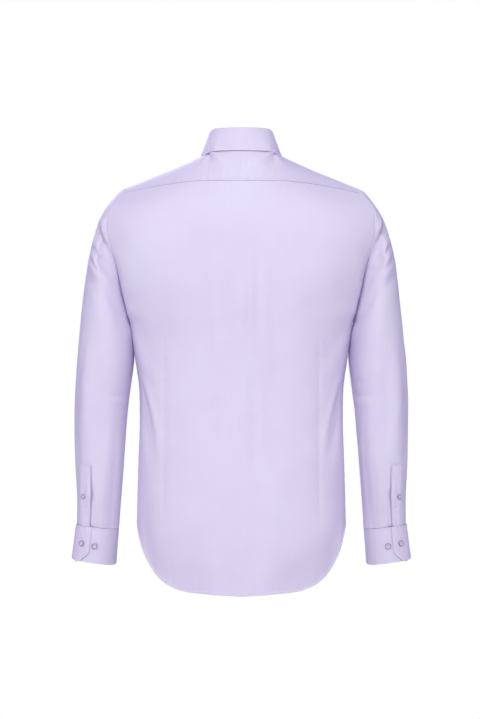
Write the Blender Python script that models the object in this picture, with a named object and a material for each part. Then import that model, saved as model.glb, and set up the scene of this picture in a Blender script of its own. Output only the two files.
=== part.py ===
"""Men's long sleeve dress shirt, filled out as it is worn, with nobody in it.

Frame: +Z up, the front faces -Y, the wearer's left is +X, and the origin is at the base of the neck,
at the height of the neck point of the shoulders. Lengths in this file are millimetres, and solid()
turns them into Blender's metres. Every panel is a grid of points on a curved sheet, worked out from
the tables below, and its wall is those points and the same points moved inwards.
"""

import math

import bmesh
import bpy
import mathutils
import numpy as np

MM = 0.001

# ---- the cut and the cloth -------------------------------------------------------------------
WALL = 1.2  # body, yoke and sleeve cloth with its turnings
BAND_WALL = 1.6  # collar, cuffs and plackets: two layers and an interlining
SEAM_GAP = 0.35  # between two pieces that are sewn together
LAP_GAP = 0.4  # between two layers that lie on each other

UNDERARM_Z = -283.0
SIDE_HEM_Z = -635.0
YOKE_SEAM_Z = -41.4  # back seam of the yoke, level as far as YOKE_LEVEL_X
YOKE_LEVEL_X = 72.0
YOKE_SEAM_DROP = 18.0  # the seam's fall from there to the armhole, at ARMHOLE_TOP_X
YOKE_NECK_CLIMB = 62.0  # degrees that the yoke rises where it meets the collar at centre back
YOKE_FALL = 40.0  # degrees that it falls where it meets the fronts
ARMHOLE_TOP_X = 206.0
FRONT_SEAM_DROP = 50.0  # front seam of the yoke: its fall from the neck to the armhole
FRONT_LAP = 17.5  # each front goes this far past the centre line
LAP_CLEAR = 4.0  # the upper front stays lifted this far past the lower one's edge
FRONT_HALF_WIDTH = 240.0  # half a section of the front, along the cloth
ROUNDNESS = 0.72  # how full a level section of the torso is between its ends

NECK_HALF_WIDTH = 63.0
NECK_BACK_Y = 58.0
NECK_FRONT_Y = -68.0
NECK_BACK_Z = 14.0
NECK_SIDE_Z = 7.0
NECK_FRONT_Z = -52.0
NECK_CORNER_TURN = 115.0  # degrees round the neck from centre back to the front seam of the yoke

# ---- how many points each panel has ----------------------------------------------------------
NECK_COLUMNS = 5  # from centre back to the corner at the neck, and as many on each front
SEAM_COLUMNS = 8  # from that corner to the armhole
LOW_ROWS = 15  # from the hem to the underarm
ARM_ROWS = 8  # from the underarm to the yoke, on the back and on the front
YOKE_ROWS = 6
NECK_SHARE = 0.30  # share of the half back seam that lies below the neck


def table(names, *rows):
    """A small table with named columns, each column as an array."""
    return {name: np.array([row[i] for row in rows], float) for i, name in enumerate(names.split())}


# The torso as level sections. Each half of a section is one curve from the centre line to the end at
# the side seam or, above the underarm, at the armhole. turn is the angle in degrees that the cloth
# has turned away from straight across when it gets there. Rows above the yoke's seams only carry
# the curve on past the seam.
BACK = table(
    "z     centre_y end_x  end_y turn",
    (-770, 104, 182.0, 0, 90),
    (-700, 107, 182.5, 0, 90),
    (-609, 109, 182.0, 0, 90),
    (-520, 104, 179.5, 0, 90),
    (-457, 98, 177.5, 0, 90),
    (-400, 96, 178.5, 0, 90),
    (-352, 98, 185.0, 0, 90),
    (-315, 101, 190.0, 0, 90),
    (-283, 103, 195.0, 0, 90),
    (-262, 104, 198.5, 20, 77),
    (-238, 105, 205.5, 34, 67),
    (-196, 106, 214.5, 45, 57),
    (-160, 106, 225.5, 48, 48),
    (-118, 104, 232.0, 44, 39),
    (-88, 99, 229.0, 36, 33),
    (-59, 91, 206.0, 20, 29),
    (-30, 80, 184.0, -2, 26),
)
FRONT = table(
    "z     centre_y end_x  end_y turn",
    (-770, -114, 182.0, 0, 90),
    (-700, -114, 182.5, 0, 90),
    (-609, -113, 182.0, 0, 90),
    (-520, -111, 179.5, 0, 90),
    (-457, -110, 177.5, 0, 90),
    (-400, -112, 178.5, 0, 90),
    (-352, -116, 185.0, 0, 90),
    (-315, -118, 190.0, 0, 90),
    (-283, -119, 195.0, 0, 90),
    (-262, -119, 197.0, -20, 77),
    (-238, -119, 199.0, -34, 67),
    (-196, -116, 202.0, -45, 57),
    (-160, -110, 206.0, -48, 48),
    (-118, -98, 211.0, -45, 39),
    (-90, -86, 213.5, -38, 32),
    (-66, -75, 212.0, -27, 27),
    (-40, -60, 206.0, -8, 25),
    (-12, -44, 190.0, 24, 24),
)

# The shirttail: how far round from the centre line (0) to the side seam (1), and how far down from
# the side seam's end (0) to the lowest point (1).
TAIL = table(
    "round down",
    (0.000, 1.000),
    (0.250, 0.972),
    (0.480, 0.922),
    (0.600, 0.825),
    (0.690, 0.690),
    (0.760, 0.540),
    (0.820, 0.375),
    (0.880, 0.190),
    (0.940, 0.050),
    (1.000, 0.000),
)
BACK_TAIL = 119.8
FRONT_TAIL = 98.0

# Rings of the left sleeve below the armhole, from the shoulder down to the cuff seam. A ring runs
# from its inner point, beside the body, to its outer one. bulge moves its back and front outwards,
# and lean moves its inner side forwards, past the side of the body.
SLEEVE = table(
    "inner_x inner_z outer_x outer_z back front middle_y bulge_back bulge_front lean",
    (197.0, -286, 236.0, -80, 51, 51, -1, 26, 14, 0),
    (196.0, -291, 253.0, -116, 54, 53, -1, 21, 11, 4),
    (192.8, -299, 264.5, -155, 57, 56, -2, 15, 8, 10),
    (190.1, -312, 272.5, -205, 59, 58, -3, 9, 5, 15),
    (187.2, -333, 279.5, -262, 60, 58, -5, 4, 2, 17),
    (188.2, -360, 285.5, -330, 60, 58, -7, 1, 0, 13),
    (193.6, -398, 291.0, -390, 57, 56, -9, 0, 0, 5),
    (200.4, -460, 292.6, -454, 53, 52, -12, 0, 0, 0),
    (206.2, -532, 291.0, -526, 48, 47, -15, 0, 0, 0),
    (211.5, -598, 288.8, -590, 43, 43, -18, 0, 0, 0),
    (215.2, -646, 289.6, -637, 40, 40, -20, 0, 0, 0),
)
RINGS_BETWEEN = 2  # rings worked out for each row of the table

# The cuff: rings at its seam and at its lower edge, drawn like the sleeve's.
CUFF_HEIGHT = 64.0
CUFF = table(
    "down inner_x inner_z outer_x outer_z depth middle_y",
    (0, 215.2, -646.4, 289.6, -637.4, 40.0, -20),
    (1, 219.6, -709.5, 297.0, -698.5, 41.5, -22),
)
CUFF_FLAP_END = 103.0  # degrees round the arm, 90 being straight back and 180 outwards
CUFF_UNDER_END = 150.0
CUFF_MITRE = 19.0
CUFF_RADIUS = 40.0
CUFF_DROOP = 0.05  # the flap's end hangs lower by this share of the height
CUFF_COLUMNS = 36

# The sleeve placket, and the buttons of the sleeve end
PLACKET_WIDTH = 25.0
PLACKET_TOP_RING = 9.05  # its upper end, counted in rings of the sleeve's table
PLACKET_FREE_EDGE = 109.0  # degrees round the arm
PLACKET_BUTTON_Z = -588.0
CUFF_BUTTON_TURN = 124.0
CUFF_SPARE_TURN = 90.0
CUFF_LIFT = 0.4  # the flap lies this much looser than flat on the under end
FRONT_BUTTONS = 6
FRONT_BUTTON_TOP_Z = -112.0
FRONT_BUTTON_STEP = 92.0

BUTTON = table(
    "radius thick",
    (5.4, 2.6),  # front, collar and cuff
    (4.7, 2.3),  # sleeve placket
)

# Main folds as soft ridges (+) and troughs (-) seen from behind, on the left half of the shirt:
# the places across and up where each starts and ends, its half width and its height.
SLEEVE_BACK_FOLDS = table(
    "x0   z0   x1   z1   width height",
    (252, -122, 221, -178, 11.0, -6.0),
    (221, -178, 210, -238, 11.0, -4.5),
    (240, -114, 224, -146, 11.0, 2.4),
    (262, -158, 229, -200, 11.0, -3.0),
    (264, -178, 232, -218, 11.0, 3.5),
    (266, -200, 240, -232, 12.0, -2.0),
    (270, -330, 276, -520, 16.0, 3.0),
    (240, -420, 246, -560, 14.0, -2.0),
)
SLEEVE_FRONT_FOLDS = table(
    "x0   z0   x1   z1   width height",
    (254, -128, 216, -190, 12.0, -5.0),
    (264, -166, 222, -222, 12.0, 3.5),
    (266, -194, 230, -248, 12.0, -3.0),
    (282, -392, 214, -418, 12.0, -3.0),
    (284, -420, 220, -452, 12.0, 3.0),
    (272, -330, 274, -560, 16.0, 2.0),
)
BACK_FOLDS = table(
    "x0   z0   x1   z1   width height",
    (176, -398, 152, -512, 8.0, -3.0),
    (167, -400, 140, -520, 9.0, 2.0),
    (0, -120, 0, -700, 26.0, 2.2),
    (52, -240, 60, -640, 24.0, -2.0),
)
FRONT_FOLDS = table(
    "x0   z0   x1   z1   width height",
    (176, -380, 120, -470, 12.0, -3.0),
    (170, -330, 96, -400, 14.0, 2.5),
    (196, -150, 120, -236, 14.0, -2.5),
    (60, -240, 66, -620, 24.0, -2.0),
)
DART_X = 135.0  # the two long back darts, from the centre line
DART_TOP_Z = -300.0
DART_END_Z = -628.0
DART_DEPTH = 1.5
DART_HALF_WIDTH = 9.0


# ---- curves ----------------------------------------------------------------------------------
def hermite(p0, p1, m0, m1, t):
    """Cubic from p0 to p1 that leaves along m0 and arrives along m1."""
    return (
        p0 * (2 * t**3 - 3 * t**2 + 1)
        + m0 * (t**3 - 2 * t**2 + t)
        + p1 * (3 * t**2 - 2 * t**3)
        + m1 * (t**3 - t**2)
    )


def through(xs, ys, x, level=False):
    """Smooth curve through the points (xs, ys), read at x. A level one never passes beyond them."""
    xs, ys = np.asarray(xs, float), np.asarray(ys, float)
    if xs[0] > xs[-1]:
        xs, ys = xs[::-1], ys[::-1]
    step = np.diff(xs)
    slope = (np.diff(ys, axis=0).T / step).T
    weight = step[1:] / (step[1:] + step[:-1])
    middle = (slope[:-1].T * weight + slope[1:].T * (1 - weight)).T
    if level:
        least = np.minimum(np.abs(slope[:-1]), np.abs(slope[1:]))
        middle = np.clip(middle, -3 * least, 3 * least) * (slope[:-1] * slope[1:] > 0)
    lean = np.concatenate([slope[:1], middle, slope[-1:]])
    x = np.clip(x, xs[0], xs[-1])
    i = np.clip(np.searchsorted(xs, x, side="right") - 1, 0, len(step) - 1)
    t = np.asarray((x - xs[i]) / step[i])
    wide = t.shape + (1,) * (ys.ndim - 1)
    t, width = t.reshape(wide), step[i].reshape(wide)
    return hermite(ys[i], ys[i + 1], lean[i] * width, lean[i + 1] * width, t)


def read(rows, key, at):
    """Every column of a table at one or more values of its column `key`."""
    return {name: through(rows[key], rows[name], at, level=True) for name in rows if name != key}


def smooth_step(x, start, end):
    t = np.clip((x - start) / (end - start), 0.0, 1.0)
    return t * t * (3 - 2 * t)


# ---- the torso -------------------------------------------------------------------------------
def torso(section, across, z):
    """Points on a level section: across runs from -1, the right end, through 0 to 1, the left end,
    in equal lengths of cloth."""
    across, z = np.broadcast_arrays(np.asarray(across, float), np.asarray(z, float))
    row = read(section, "z", z)
    turn = np.radians(row["turn"])
    depth = row["end_y"] - row["centre_y"]
    full = 1.0 + ROUNDNESS * turn / (math.pi / 2)
    reach = full * (np.cos(turn) * row["end_x"] + np.sin(turn) * np.abs(depth))
    steps = np.linspace(0.0, 1.0, 33)
    x = hermite(0.0, row["end_x"][..., None], (full * row["end_x"])[..., None],
                (np.cos(turn) * reach)[..., None], steps)
    y = hermite(row["centre_y"][..., None], row["end_y"][..., None], 0.0,
                (np.sin(turn) * reach * np.sign(depth))[..., None], steps)
    length = np.cumsum(np.hypot(np.diff(x, axis=-1), np.diff(y, axis=-1)), axis=-1)
    length = np.concatenate([np.zeros(length.shape[:-1] + (1,)), length], axis=-1)
    wanted = np.abs(across) * length[..., -1]
    i = np.clip((length <= wanted[..., None]).sum(axis=-1) - 1, 0, len(steps) - 2)[..., None]
    before, after = np.take_along_axis(length, i, -1), np.take_along_axis(length, i + 1, -1)
    part = ((wanted[..., None] - before) / (after - before))

    def between(values):
        low, high = np.take_along_axis(values, i, -1), np.take_along_axis(values, i + 1, -1)
        return (low + (high - low) * part)[..., 0]

    return np.stack([between(x) * np.sign(across), between(y), z], axis=-1)


def tail_z(across, tail):
    """Height of the hem at a place across."""
    return SIDE_HEM_Z - tail * read(TAIL, "round", np.abs(across))["down"]


def yoke_seam_z(x):
    """Height of the yoke's back seam."""
    past = np.clip((np.abs(x) - YOKE_LEVEL_X) / (ARMHOLE_TOP_X - YOKE_LEVEL_X), 0.0, None)
    return YOKE_SEAM_Z - YOKE_SEAM_DROP * past**1.6


def neck_point(turn):
    """The neck seam, turn degrees round from centre back to the wearer's left."""
    angle = np.radians(turn)
    middle_y = (NECK_BACK_Y + NECK_FRONT_Y) / 2
    mean = (NECK_BACK_Z + NECK_FRONT_Z + 2 * NECK_SIDE_Z) / 4
    lean = (NECK_BACK_Z - NECK_FRONT_Z) / 2
    dip = (NECK_BACK_Z + NECK_FRONT_Z - 2 * NECK_SIDE_Z) / 4
    return np.stack(
        [
            NECK_HALF_WIDTH * np.sin(angle),
            middle_y + (NECK_BACK_Y - middle_y) * np.cos(angle),
            mean + lean * np.cos(angle) + dip * np.cos(2 * angle),
        ],
        axis=-1,
    )


def back_seam(across):
    """The yoke's back seam, on the torso's back sections."""
    z = np.full(np.shape(across), YOKE_SEAM_Z)
    for _ in range(20):
        z = yoke_seam_z(torso(BACK, across, z)[..., 0])
    return torso(BACK, across, z)


def front_seam(part):
    """The yoke's front seam, from the neck (0) to the armhole (1)."""
    neck = neck_point(NECK_CORNER_TURN)
    arm = torso(FRONT, 1.0, neck[2] - FRONT_SEAM_DROP)
    part = np.asarray(part, float)[..., None]
    line = neck + (arm - neck) * part
    return line + np.array([0.0, -7.0, 0.0]) * np.sin(math.pi * part)


def columns():
    """Places across half a panel, from the centre line to its end."""
    neck = np.linspace(0.0, NECK_SHARE, NECK_COLUMNS + 1)
    seam = np.linspace(NECK_SHARE, 1.0, SEAM_COLUMNS + 1)
    return np.concatenate([neck, seam[1:]])


def rows_up(top_z):
    """Rows from hem to top as shares of the height, with one at the underarm."""
    underarm = (UNDERARM_Z - SIDE_HEM_Z) / (top_z - SIDE_HEM_Z)
    low = np.linspace(0.0, underarm, LOW_ROWS + 1)
    arm = underarm + (1.0 - underarm) * np.linspace(0.0, 1.0, ARM_ROWS + 1) ** 1.25
    return np.concatenate([low, arm[1:]])


def back_panel():
    """Grid of the back: rows from hem to yoke, columns from right to left."""
    half = columns()
    across = np.concatenate([-half[:0:-1], half])
    hem = tail_z(across, BACK_TAIL)
    top = back_seam(across)[:, 2]
    share = rows_up(top[-1])[:, None]
    return torso(BACK, across, hem + (top - hem) * share)


def front_neck():
    """Places of a front's columns at the neck seam: their share across, and their angle round the
    neck. The first three are the lapped edge, the centre line and a line just past the other
    front's edge."""
    past = FRONT_LAP + LAP_CLEAR
    lapped = np.array([-FRONT_LAP, 0.0, past])
    rest = np.linspace(past, neck_point(NECK_CORNER_TURN)[0], NECK_COLUMNS - 1)[1:]
    on_neck = np.concatenate(
        [lapped / FRONT_HALF_WIDTH, np.linspace(past / FRONT_HALF_WIDTH, NECK_SHARE, NECK_COLUMNS - 1)[1:]]
    )
    x = np.concatenate([lapped, rest])
    return on_neck, 180.0 - np.degrees(np.arcsin(x / NECK_HALF_WIDTH))


def front_panel():
    """Grid of the left front: rows from hem to top, columns from the lap to the side."""
    half = columns()
    corner = NECK_SHARE
    on_neck, turns = front_neck()
    across = np.concatenate([on_neck, half[NECK_COLUMNS + 1:]])
    seam_part = (half[NECK_COLUMNS + 1:] - corner) / (1.0 - corner)
    top = np.concatenate([neck_point(turns), front_seam(seam_part)])
    hem = tail_z(across, FRONT_TAIL)
    share = rows_up(top[-1, 2])[:, None]
    z = hem + (top[:, 2] - hem) * share
    grid = torso(FRONT, across, z)
    grid[:, across < 0, 0] = -np.abs(grid[:, across < 0, 0])
    miss = top - grid[-1]
    blend = smooth_step(share, 0.62, 1.0)[..., None]
    return grid + miss * blend


def yoke_half():
    """Grid of the left half of the yoke: rows from the back seam over the shoulder, columns from
    centre back to the armhole."""
    half = columns()
    start = back_seam(half)
    below = torso(BACK, half, start[:, 2] - 4.0)
    leave = start - below
    leave /= np.linalg.norm(leave, axis=1, keepdims=True)
    neck_part = half[:NECK_COLUMNS + 1] / NECK_SHARE
    seam_part = (half[NECK_COLUMNS + 1:] - NECK_SHARE) / (1.0 - NECK_SHARE)
    end = np.concatenate([neck_point(NECK_CORNER_TURN * neck_part), front_seam(seam_part)])
    climb = YOKE_NECK_CLIMB - (YOKE_NECK_CLIMB + YOKE_FALL) * neck_part
    climb = np.radians(np.concatenate([climb, np.full(len(seam_part), -YOKE_FALL)]))
    arrive = np.stack([np.zeros_like(climb), -np.cos(climb), np.sin(climb)], axis=-1)
    chord = np.linalg.norm(end - start, axis=1, keepdims=True)
    t = np.linspace(0.0, 1.0, YOKE_ROWS + 1)[:, None, None]
    swell = np.interp(half, [0.0, NECK_SHARE, 0.6, 1.0], [1.15, 1.76, 1.50, 1.3])[:, None]
    return hermite(start, end, leave * chord * swell, arrive * chord * swell, t)


def both_halves(half):
    """A grid for both sides of the body from the left one, whose first column is the centre line."""
    right = half[:, :0:-1] * np.array([-1.0, 1.0, 1.0])
    return np.concatenate([right, half], axis=1)


# ---- the sleeve ------------------------------------------------------------------------------
def armhole():
    """The left armhole, from the underarm up the back, over the shoulder and down the front."""
    back = back_panel()[LOW_ROWS:, -1]
    over = yoke_half()[:, -1]
    front = front_panel()[LOW_ROWS:, -1]
    return np.concatenate([back, over[1:], front[-2:0:-1]])


def ring_turns():
    """Angle round the arm of each armhole point: 0 at the underarm, 90 behind, 180 on top."""
    loop = armhole()
    edge = np.linalg.norm(np.diff(np.concatenate([loop, loop[:1]]), axis=0), axis=1)
    run = np.concatenate([[0.0], np.cumsum(edge)])
    top = ARM_ROWS + YOKE_ROWS // 2
    before = run[:-1] / run[top] * 180.0
    after = 180.0 + (run[:-1] - run[top]) / (run[-1] - run[top]) * 180.0
    return np.where(np.arange(len(loop)) <= top, before, after)


def sleeve_ring(row, turns):
    """A ring of the sleeve's table at the given angles."""
    angle = np.radians(turns)
    inner = np.array([row["inner_x"], row["inner_z"]])
    outer = np.array([row["outer_x"], row["outer_z"]])
    middle, half = (inner + outer) / 2, (outer - inner) / 2
    out = np.array([half[1], -half[0]]) / np.linalg.norm(half)
    depth = np.where(np.sin(angle) > 0, row["back"], row["front"])
    bulge = np.where(np.sin(angle) > 0, row["bulge_back"], row["bulge_front"]) * np.sin(angle) ** 2
    flat = middle - np.cos(angle)[:, None] * half + bulge[:, None] * out
    y = row["middle_y"] + depth * np.sin(angle) - row["lean"] * np.maximum(np.cos(angle), 0) ** 2
    return np.stack([flat[:, 0], y, flat[:, 1]], axis=-1)


def sleeve_grid():
    """Grid of the left sleeve: rows from the armhole to the cuff, columns round the arm."""
    turns = ring_turns()
    count = len(SLEEVE["inner_x"])
    rings = [armhole()]
    rings += [sleeve_ring({name: SLEEVE[name][i] for name in SLEEVE}, turns) for i in range(count)]
    rings = np.stack(rings)
    station = np.arange(len(rings), dtype=float)
    at = np.linspace(0.0, station[-1], RINGS_BETWEEN * (len(rings) - 1) + 1)
    return through(station, rings, at)


# ---- folds -----------------------------------------------------------------------------------
def fold_height(points, folds):
    """How far the folds of a table move each point out."""
    height = np.zeros(points.shape[:-1])
    place = np.stack([np.abs(points[..., 0]), points[..., 2]], axis=-1)
    for x0, z0, x1, z1, width, rise in zip(*(folds[name] for name in folds)):
        start, run = np.array([x0, z0]), np.array([x1 - x0, z1 - z0])
        along = ((place - start) @ run) / (run @ run)
        near = start + np.clip(along, 0.0, 1.0)[..., None] * run
        off = np.linalg.norm(place - near, axis=-1)
        fade = 0.35 + 0.65 * np.sin(math.pi * np.clip(along, 0.0, 1.0))
        height += rise * fade * np.exp(-((off / width) ** 2))
    return height


# ---- walls -----------------------------------------------------------------------------------
def grid_normals(grid, ring):
    """Unit vectors out of a grid, whose columns go round anticlockwise seen from its first row's
    side, with `ring` true where the last column meets the first."""
    up = np.gradient(grid, axis=0)
    if ring:
        across = (np.roll(grid, -1, axis=1) - np.roll(grid, 1, axis=1)) / 2
    else:
        across = np.gradient(grid, axis=1)
    normal = np.cross(up, across)
    return normal / np.linalg.norm(normal, axis=-1, keepdims=True)


def solid(name, outer, inner, ring, material):
    """Closed wall between two grids of the same shape, as one object."""
    rows, cols = outer.shape[:2]
    mesh = bmesh.new()
    skins = [
        [[mesh.verts.new(p * MM) for p in line] for line in skin.astype(float)]
        for skin in (outer, inner)
    ]
    last = cols if ring else cols - 1
    for side, skin in enumerate(skins):
        for i in range(rows - 1):
            for j in range(last):
                k = (j + 1) % cols
                corners = [skin[i][j], skin[i][k], skin[i + 1][k], skin[i + 1][j]]
                mesh.faces.new(corners if side == 0 else corners[::-1])
    out, back = skins
    for j in range(last):
        k = (j + 1) % cols
        mesh.faces.new([out[0][k], out[0][j], back[0][j], back[0][k]])
        mesh.faces.new([out[-1][j], out[-1][k], back[-1][k], back[-1][j]])
    if not ring:
        for i in range(rows - 1):
            mesh.faces.new([out[i][0], out[i + 1][0], back[i + 1][0], back[i][0]])
            mesh.faces.new([out[i + 1][-1], out[i][-1], back[i][-1], back[i + 1][-1]])
    bmesh.ops.recalc_face_normals(mesh, faces=mesh.faces)
    return finish(name, mesh, material)


def finish(name, mesh, material):
    data = bpy.data.meshes.new(name)
    mesh.to_mesh(data)
    mesh.free()
    data.shade_smooth()
    data.set_sharp_from_angle(angle=math.radians(40))
    data.materials.append(material)
    piece = bpy.data.objects.new(name, data)
    bpy.context.scene.collection.objects.link(piece)
    return piece


def inset(grid, first_row=False, last_row=False, first_column=False, last_column=False):
    """Half a seam's gap taken off the edges that are sewn to a neighbour."""
    moved = grid.copy()

    def pull(edge, towards):
        way = towards - edge
        return edge + way / np.linalg.norm(way, axis=-1, keepdims=True) * SEAM_GAP / 2

    if first_row:
        moved[0] = pull(moved[0], moved[1])
    if last_row:
        moved[-1] = pull(moved[-1], moved[-2])
    if first_column:
        moved[:, 0] = pull(moved[:, 0], moved[:, 1])
    if last_column:
        moved[:, -1] = pull(moved[:, -1], moved[:, -2])
    return moved


def unit(vectors):
    return vectors / np.linalg.norm(vectors, axis=-1, keepdims=True)


def fade_at_edges(shape, rows_free=(False, False), columns_free=(False, False), reach=2.0):
    """1 inside a grid and 0 at its sewn edges."""
    rows, cols = shape
    up, across = np.arange(rows, dtype=float), np.arange(cols, dtype=float)
    weight = np.ones(shape)
    for free, away in zip(rows_free, (up, up[::-1])):
        if not free:
            weight *= smooth_step(away, 0.0, reach)[:, None]
    for free, away in zip(columns_free, (across, across[::-1])):
        if not free:
            weight *= smooth_step(away, 0.0, reach)[None, :]
    return weight


def dart_height(points):
    """The shallow troughs along the long back darts."""
    off = np.abs(points[..., 0]) - DART_X
    span = smooth_step(points[..., 2], DART_END_Z, DART_END_Z + 60)
    span *= 1.0 - smooth_step(points[..., 2], DART_TOP_Z - 60, DART_TOP_Z)
    return -DART_DEPTH * span * np.exp(-((off / DART_HALF_WIDTH) ** 2))


# ---- the collar ------------------------------------------------------------------------------
STAND_HEIGHT = 35.0
STAND_SEAT = 0.5  # its lower edge stands this much clear of the neck seam
STAND_LEAN = 9.7  # how far its upper edge is drawn in
STAND_LAP = 13.0  # its ends go this far past the centre line
LEAF_SEAT = 0.6  # the leaf starts this much above the stand's upper edge
LEAF_FOLD = 1.0  # inner radius of the fold over the stand
LEAF_LEAN = 0.40  # how far the leaf leaves the fold outwards, to 1 down

# The leaf's outer edge, against the angle round the neck where its fold is
LEAF_EDGE = table(
    "turn x   y    z",
    (0, 0, 65.5, 12.0),
    (30, 34.5, 60.5, 11.6),
    (46, 49.6, 53.8, 11.7),
    (62, 61.8, 39.4, 9.9),
    (85, 71.6, 8, 7.4),
    (110, 75, -31, -11.4),
    (135, 69.5, -61, -43),
    (155, 60.5, -80, -67.5),
    (174, 49, -91, -91),
)
LEAF_FRONT = 174.0  # degrees round the neck to the leaf's front edge
LEAF_COLUMNS = 32


def stand_point(turn, share):
    """Outer face of the collar stand: share runs from the neck seam (0) to its upper edge (1)."""
    angle = np.radians(turn)
    height = STAND_HEIGHT - 3.0 * smooth_step(np.abs(turn), 5, 50) - 2.0 * smooth_step(np.abs(turn), 90, 180)
    out = np.stack([np.sin(angle), np.cos(angle), np.zeros_like(angle)], axis=-1)
    up = np.array([0.0, 0.0, 1.0])
    lift = (STAND_SEAT + height * share)[..., None] * up
    return neck_point(turn) + lift - out * (STAND_LEAN * share)[..., None], out


def stand_grids():
    """Both faces of the stand, from its right end under the lap to its left end over it."""
    reach = 180.0 + math.degrees(STAND_LAP / NECK_HALF_WIDTH)
    seam_turns = np.concatenate(
        [np.linspace(0.0, NECK_CORNER_TURN, NECK_COLUMNS + 1), front_neck()[1][-2:0:-1], [reach]]
    )
    seam_turns = np.concatenate([-seam_turns[:0:-1], seam_turns])
    halves = np.arange(2 * len(seam_turns) - 1) / 2
    turns = np.interp(halves, np.arange(len(seam_turns)), seam_turns)
    from_end = (reach - np.abs(turns)) * math.radians(1.0) * NECK_HALF_WIDTH
    round_off = np.sqrt(1.0 - (1.0 - np.clip(from_end / 12.0, 0.0, 1.0)) ** 2)
    top = 0.55 + 0.45 * round_off
    share = np.linspace(0.0, 1.0, 4)[:, None] * top
    outer, out = stand_point(np.broadcast_to(turns, share.shape), share)
    outer[0, 1::2] = (outer[0, 0:-2:2] + outer[0, 2::2]) / 2
    lapped = (BAND_WALL + LAP_GAP) * smooth_step(turns, 180 - 2 * (reach - 180), 181 - (reach - 180))
    outer = outer + out * lapped[:, None]
    return outer, outer - out * BAND_WALL


def leaf_grids():
    """Both faces of the leaf: up off the stand, over the fold and down to its outer edge."""
    turns = np.linspace(-LEAF_FRONT, LEAF_FRONT, LEAF_COLUMNS + 1)
    edge = read(LEAF_EDGE, "turn", np.abs(turns))
    rim = np.stack([edge["x"] * np.sign(turns), edge["y"], edge["z"]], axis=-1)
    seat, out = stand_point(turns, np.ones_like(turns))
    up = np.array([0.0, 0.0, 1.0])
    seat = seat + up * LEAF_SEAT + out * LEAF_FOLD
    lapped = (BAND_WALL + LAP_GAP) * smooth_step(turns, 150, 168)
    seat = seat + out * lapped[:, None]
    faces = []
    for radius in (LEAF_FOLD + BAND_WALL, LEAF_FOLD):
        rows = [
            seat + out * radius * math.cos(a) + up * radius * math.sin(a)
            for a in np.radians([180.0, 115.0, 55.0, 0.0])
        ]
        start, lean = rows[-1], out * LEAF_LEAN - up
        chord = np.linalg.norm(rim - start, axis=-1, keepdims=True)
        rows += [
            hermite(start, rim, unit(lean) * chord, (rim - start) * 1.05, t) for t in (0.35, 0.68, 1.0)
        ]
        faces.append(np.stack(rows))
    outer, inner = faces
    blend = np.array([0, 0, 0, 0, 0.5, 1.0, 1.0])[:, None, None]
    under = outer + grid_normals(outer, ring=False) * BAND_WALL
    return outer, inner * (1 - blend) + under * blend


# ---- the cuff, the placket and the buttons ---------------------------------------------------
def cuff_point(turn, down):
    """Outer face of the cuff at base layer: down runs from its seam (0) to its lower edge (1)."""
    turn, down = np.broadcast_arrays(turn, down)
    row = read(CUFF, "down", down)
    angle = np.radians(turn)
    inner = np.stack([row["inner_x"], row["inner_z"]], axis=-1)
    outer = np.stack([row["outer_x"], row["outer_z"]], axis=-1)
    flat = (inner + outer) / 2 - np.cos(angle)[..., None] * (outer - inner) / 2
    point = np.stack(
        [flat[..., 0], row["middle_y"] + row["depth"] * np.sin(angle), flat[..., 1]], axis=-1
    )
    out = np.stack([-np.cos(angle), np.sin(angle), np.zeros_like(angle)], axis=-1)
    return point, out


def cuff_grids():
    """Both faces of the left cuff, from its end under the flap round the arm to the flap's end."""
    last = CUFF_FLAP_END - 360.0
    share = np.array([0.0, 0.25, 0.5, 1.0 - CUFF_MITRE / CUFF_HEIGHT, 0.86, 1.0])[:, None]
    along = np.linspace(0.0, 1.0, CUFF_COLUMNS + 1)
    turns = CUFF_UNDER_END + (last - CUFF_UNDER_END) * along
    mitre = math.degrees(CUFF_MITRE / CUFF_RADIUS)
    cut = np.clip((share - (1.0 - CUFF_MITRE / CUFF_HEIGHT)) * CUFF_HEIGHT / CUFF_MITRE, 0.0, 1.0)
    near_end = smooth_step(along, 1.0 - 2.0 * mitre / (CUFF_UNDER_END - last), 1.0)
    turn = turns + mitre * cut * near_end
    droop = 1.0 + CUFF_DROOP * smooth_step(-turn, -last - 75, -last)
    outer, out = cuff_point(turn, share * droop)
    over = CUFF_UNDER_END - 360.0
    lapped = (BAND_WALL + LAP_GAP + CUFF_LIFT) * smooth_step(-turn, -over - 38.0, -over - 4.0)
    outer = outer + out * lapped[..., None]
    outer = outer - np.array([0.0, 0.0, SEAM_GAP + 0.1])
    return outer, outer - out * BAND_WALL


def sleeve_point(station, turns):
    """Outer face of the left sleeve between two rings of its table (1 is the first)."""
    count = len(SLEEVE["inner_x"])
    rings = [sleeve_ring({name: SLEEVE[name][i] for name in SLEEVE}, turns) for i in range(count)]
    return through(np.arange(1.0, count + 1.0), np.stack(rings), station)


def placket_grids():
    """Both faces of the left sleeve placket, which lies on the sleeve above the cuff."""
    stations = np.linspace(len(SLEEVE["inner_x"]), PLACKET_TOP_RING, 9)
    grid = []
    for station in stations:
        middle = sleeve_point(station, np.array([PLACKET_FREE_EDGE, PLACKET_FREE_EDGE + 30.0]))
        width = np.linalg.norm(middle[1] - middle[0]) / 30.0
        turns = PLACKET_FREE_EDGE + np.linspace(0.0, PLACKET_WIDTH / width, 5)
        grid.append(sleeve_point(station, turns))
    base = np.stack(grid)
    base = base + grid_normals(base, ring=False) * fold_height(base, SLEEVE_BACK_FOLDS)[..., None]
    normal = grid_normals(base, ring=False)
    return base + normal * (LAP_GAP + BAND_WALL), base + normal * LAP_GAP


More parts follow.
